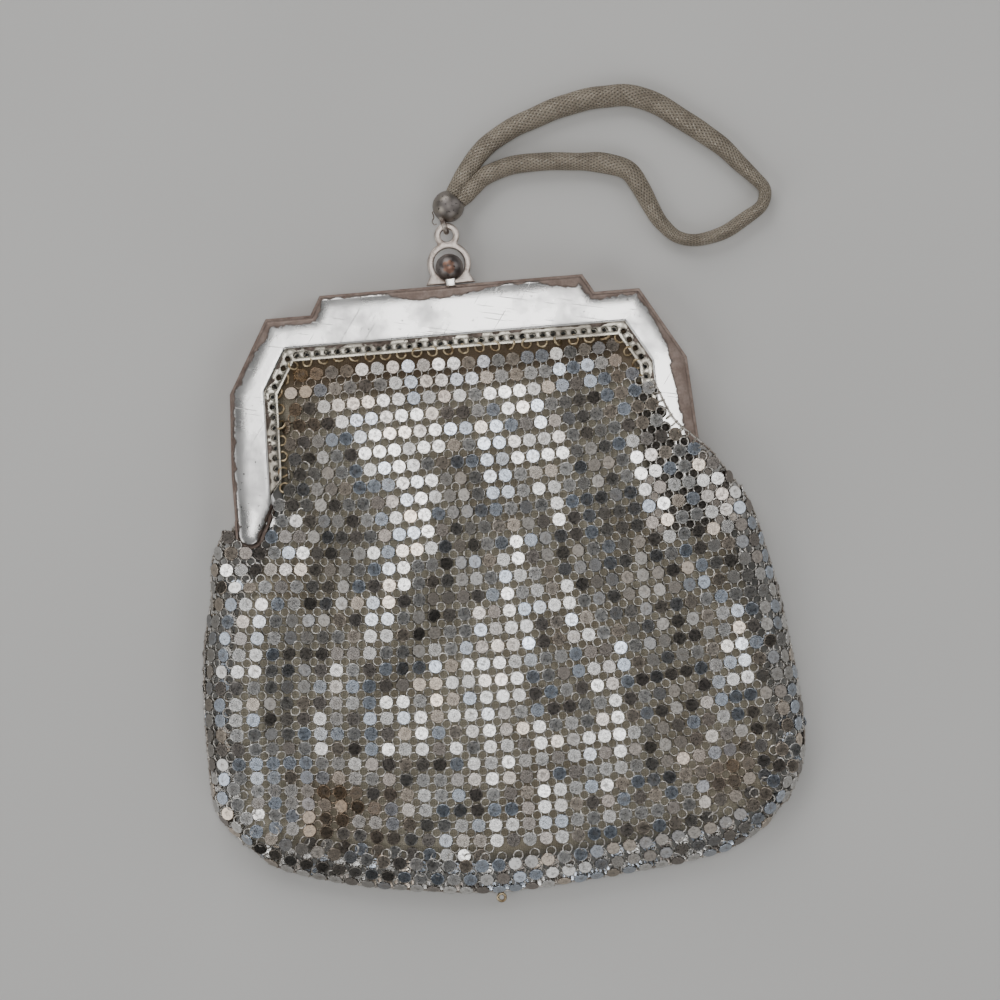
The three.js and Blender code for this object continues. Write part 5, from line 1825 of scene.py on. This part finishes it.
    def build(self) -> None:
        """Builds the whole mesh."""
        frame = self.drawing.tree("jaw_front", "jaw_back", "hinge_pin_left", "hinge_pin_right",
                                  "front_lacing", "back_lacing")
        for side in Side:
            self.build_side(side, frame)
        self.build_seam()
        self.build_tail_ring()


class GoldRings:
    """The small gold rings that hang the mesh from the pierced strips."""

    gold = WireMetal("gold_wire", (0.62, 0.5, 0.32), (0.27, 0.18, 0.1), 0.34, 500, 0.55)
    radius = 1.05
    wire = 0.27
    pitch = 3.45
    drop = 0.2

    def __init__(self, drawing: Drawing, jaws: Jaws) -> None:
        """Keeps the drawing's place and the strip's form."""
        self.drawing = drawing
        self.form = jaws.form

    def build_row(self, side: Side, node: str) -> None:
        """Builds one row of rings.

        Args:
            side: The side that it hangs on.
            node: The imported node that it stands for.
        """
        line = offset_line(self.form.groove(), self.form.strip_width + self.drop)
        places = spaced(line, self.pitch, 1.5)
        low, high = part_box(node)
        level = (low.z + high.z) / 2 / MM
        run = np.gradient(places, axis=0)
        inward = np.column_stack([-run[:, 1], run[:, 0]])
        inward /= np.linalg.norm(inward, axis=1)[:, None]
        count = len(places)
        place = np.column_stack([places, np.full(count, level - 0.1 * side.value)])
        normal = np.column_stack([inward * -0.35, np.full(count, float(side.value))])
        along = np.column_stack([run, np.zeros(count)])
        chance = np.random.default_rng(SEED + 1)
        rings = Spots(place, normal, along).shaken(chance, 0.16, 0.1).lifted(self.radius, 0, self.wire)
        shape = Shape()
        shape.ring(self.radius, self.wire, 20, 7, Matrix.Identity(4))
        mesh = copies(f"{side.name.lower()}_gold_rings", shape.mesh("ring", 180), rings, np.ones((count, 3)))
        self.drawing.piece(mesh, self.gold, "brass", [node])

    def build(self) -> None:
        """Builds both rows."""
        self.build_row(Side.FRONT, "front_lacing")
        self.build_row(Side.BACK, "back_lacing")


@dataclass
class Lining:
    """The thin cloth bag inside the mesh, seen through its gaps."""

    drawing: Drawing
    bag: BagForm
    cloth = LiningCloth("lining_weave")
    wall: float = 1.35
    side_inset: float = 6.6
    mouth_half: float = 41.6
    mouth_row: float = 0.3
    top_row: float = -0.022
    roll: float = 4.5
    cells: int = 76
    sheet: float = 0.25

    def plan(self, down: np.ndarray, across: np.ndarray) -> tuple[np.ndarray, ...]:
        """Points of the lining's plan, and how far each lies in from the lining's edge."""
        last = 1 - (self.side_inset - 1) / self.bag.side_drop
        row = self.top_row + (last - self.top_row) * down
        left, right = self.bag.edges(row)
        mouth = row < self.mouth_row
        left = np.where(mouth, -self.mouth_half, np.maximum(
            left + self.side_inset, -self.mouth_half - 60 * (row - 0.3)))
        right = np.where(mouth, self.mouth_half, right - self.side_inset)
        x = left + (right - left) * across
        bag_left, bag_right = self.bag.edges(row)
        y = self.bag.level(row, (x - bag_left) / (bag_right - bag_left))
        return x, y, np.minimum(np.minimum(x - left, right - x), (1 - down) * 100)

    def build(self) -> None:
        """Builds the lining."""
        shape = Shape()
        for side in Side:
            grid = bmesh.ops.create_grid(
                shape.bm, x_segments=self.cells, y_segments=self.cells, size=0.5)["verts"]
            spots = np.array([vert.co for vert in grid])
            x, y, inside = self.plan(np.clip(0.5 - spots[:, 1], 0, 1), np.clip(spots[:, 0] + 0.5, 0, 1))
            front, back, _ = self.bag.heights(x, y)
            middle = (front + back) / 2
            surface = front - self.wall if side is Side.FRONT else back + self.wall
            share = rolled(inside, np.full_like(inside, self.roll))
            z = middle + (surface - middle) * share
            for vert, point in zip(grid, np.column_stack([x, y, z])):
                vert.co = point
        bmesh.ops.remove_doubles(shape.bm, verts=shape.bm.verts, dist=0.02)
        mesh = shape.mesh("cloth_lining", 180)
        piece = self.drawing.piece(mesh, self.cloth, "champagne_cloth", ["lining"])
        thick = piece.modifiers.new("wall", "SOLIDIFY")
        thick.thickness = self.sheet * MM
        thick.offset = -1


@dataclass
class Studio:
    """The floor, the lights and the camera."""

    width: float = 0.2244
    middle: tuple[float, float] = (7.02, -48.32)
    roll: float = -4.75
    distance: float = 0.85
    sensor: float = 36.0

    def build(self, drawing: Drawing) -> None:
        """Builds the studio around the drawing's place."""
        scene = bpy.context.scene
        x, y = (drawing.origin[i] + self.middle[i] * MM for i in (0, 1))
        camera = bpy.data.objects.new("camera", bpy.data.cameras.new("camera"))
        camera.data.sensor_width = self.sensor
        camera.data.lens = self.sensor * (self.distance - 0.006) / self.width
        camera.location = (x, y, self.distance)
        camera.rotation_euler = (0, 0, math.radians(self.roll))
        scene.collection.objects.link(camera)
        scene.camera = camera
        mesh = bpy.data.meshes.new("floor")
        bm = bmesh.new()
        bmesh.ops.create_grid(bm, x_segments=4, y_segments=4, size=1.5)
        bm.to_mesh(mesh)
        bm.free()
        mesh.materials.append(PaleFloor("pale_floor").material())
        floor = bpy.data.objects.new("floor", mesh)
        floor.location.z = -0.0001
        scene.collection.objects.link(floor)
        self.light("overhead", (0.03, 0.06, 1.2), 0.34, 2.1, (x, y))
        sides = (("right", 20, 3.6), ("top", 110, 7.0), ("left", 200, 5.0), ("low", 290, 3.4))
        for name, turn, power in sides:
            aside = (1.1 * math.cos(math.radians(turn)), 1.1 * math.sin(math.radians(turn)), 0.7)
            self.light(name, aside, 0.95, power, (x, y))
        world = bpy.data.worlds.new("world")
        world.use_nodes = True
        world.node_tree.nodes["Background"].inputs["Color"].default_value = (0.9, 0.95, 1.0, 1)
        world.node_tree.nodes["Background"].inputs["Strength"].default_value = 0.05
        scene.world = world

    def light(self, name: str, place: Sequence[float], size: float, power: float,
              middle: Sequence[float]) -> None:
        """Adds a soft light that faces the purse.

        Args:
            name: The light's name.
            place: Where it stands, from the middle of the view.
            size: The side of its square.
            power: Its power in watts.
            middle: The middle of the view.
        """
        data = bpy.data.lights.new(name, "AREA")
        data.size = size
        data.energy = power
        light = bpy.data.objects.new(name, data)
        light.location = (middle[0] + place[0], middle[1] + place[1], place[2])
        aim = Vector((*middle, 0)) - light.location
        light.rotation_euler = aim.to_track_quat("-Z", "Y").to_euler()
        bpy.context.scene.collection.objects.link(light)


def main() -> None:
    """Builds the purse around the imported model."""
    logging.basicConfig(level=logging.INFO, format="%(message)s")
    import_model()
    drawing = Drawing()
    Studio().build(drawing)
    StrapSet(drawing).build()
    jaws = Jaws(drawing)
    jaws.build()
    Clasp(drawing).build()
    bag = BagForm()
    GoldRings(drawing, jaws).build()
    DiscMesh(drawing, bag).build()
    Lining(drawing, bag).build()
    bpy.context.view_layer.update()


if __name__ == "__main__":
    main()
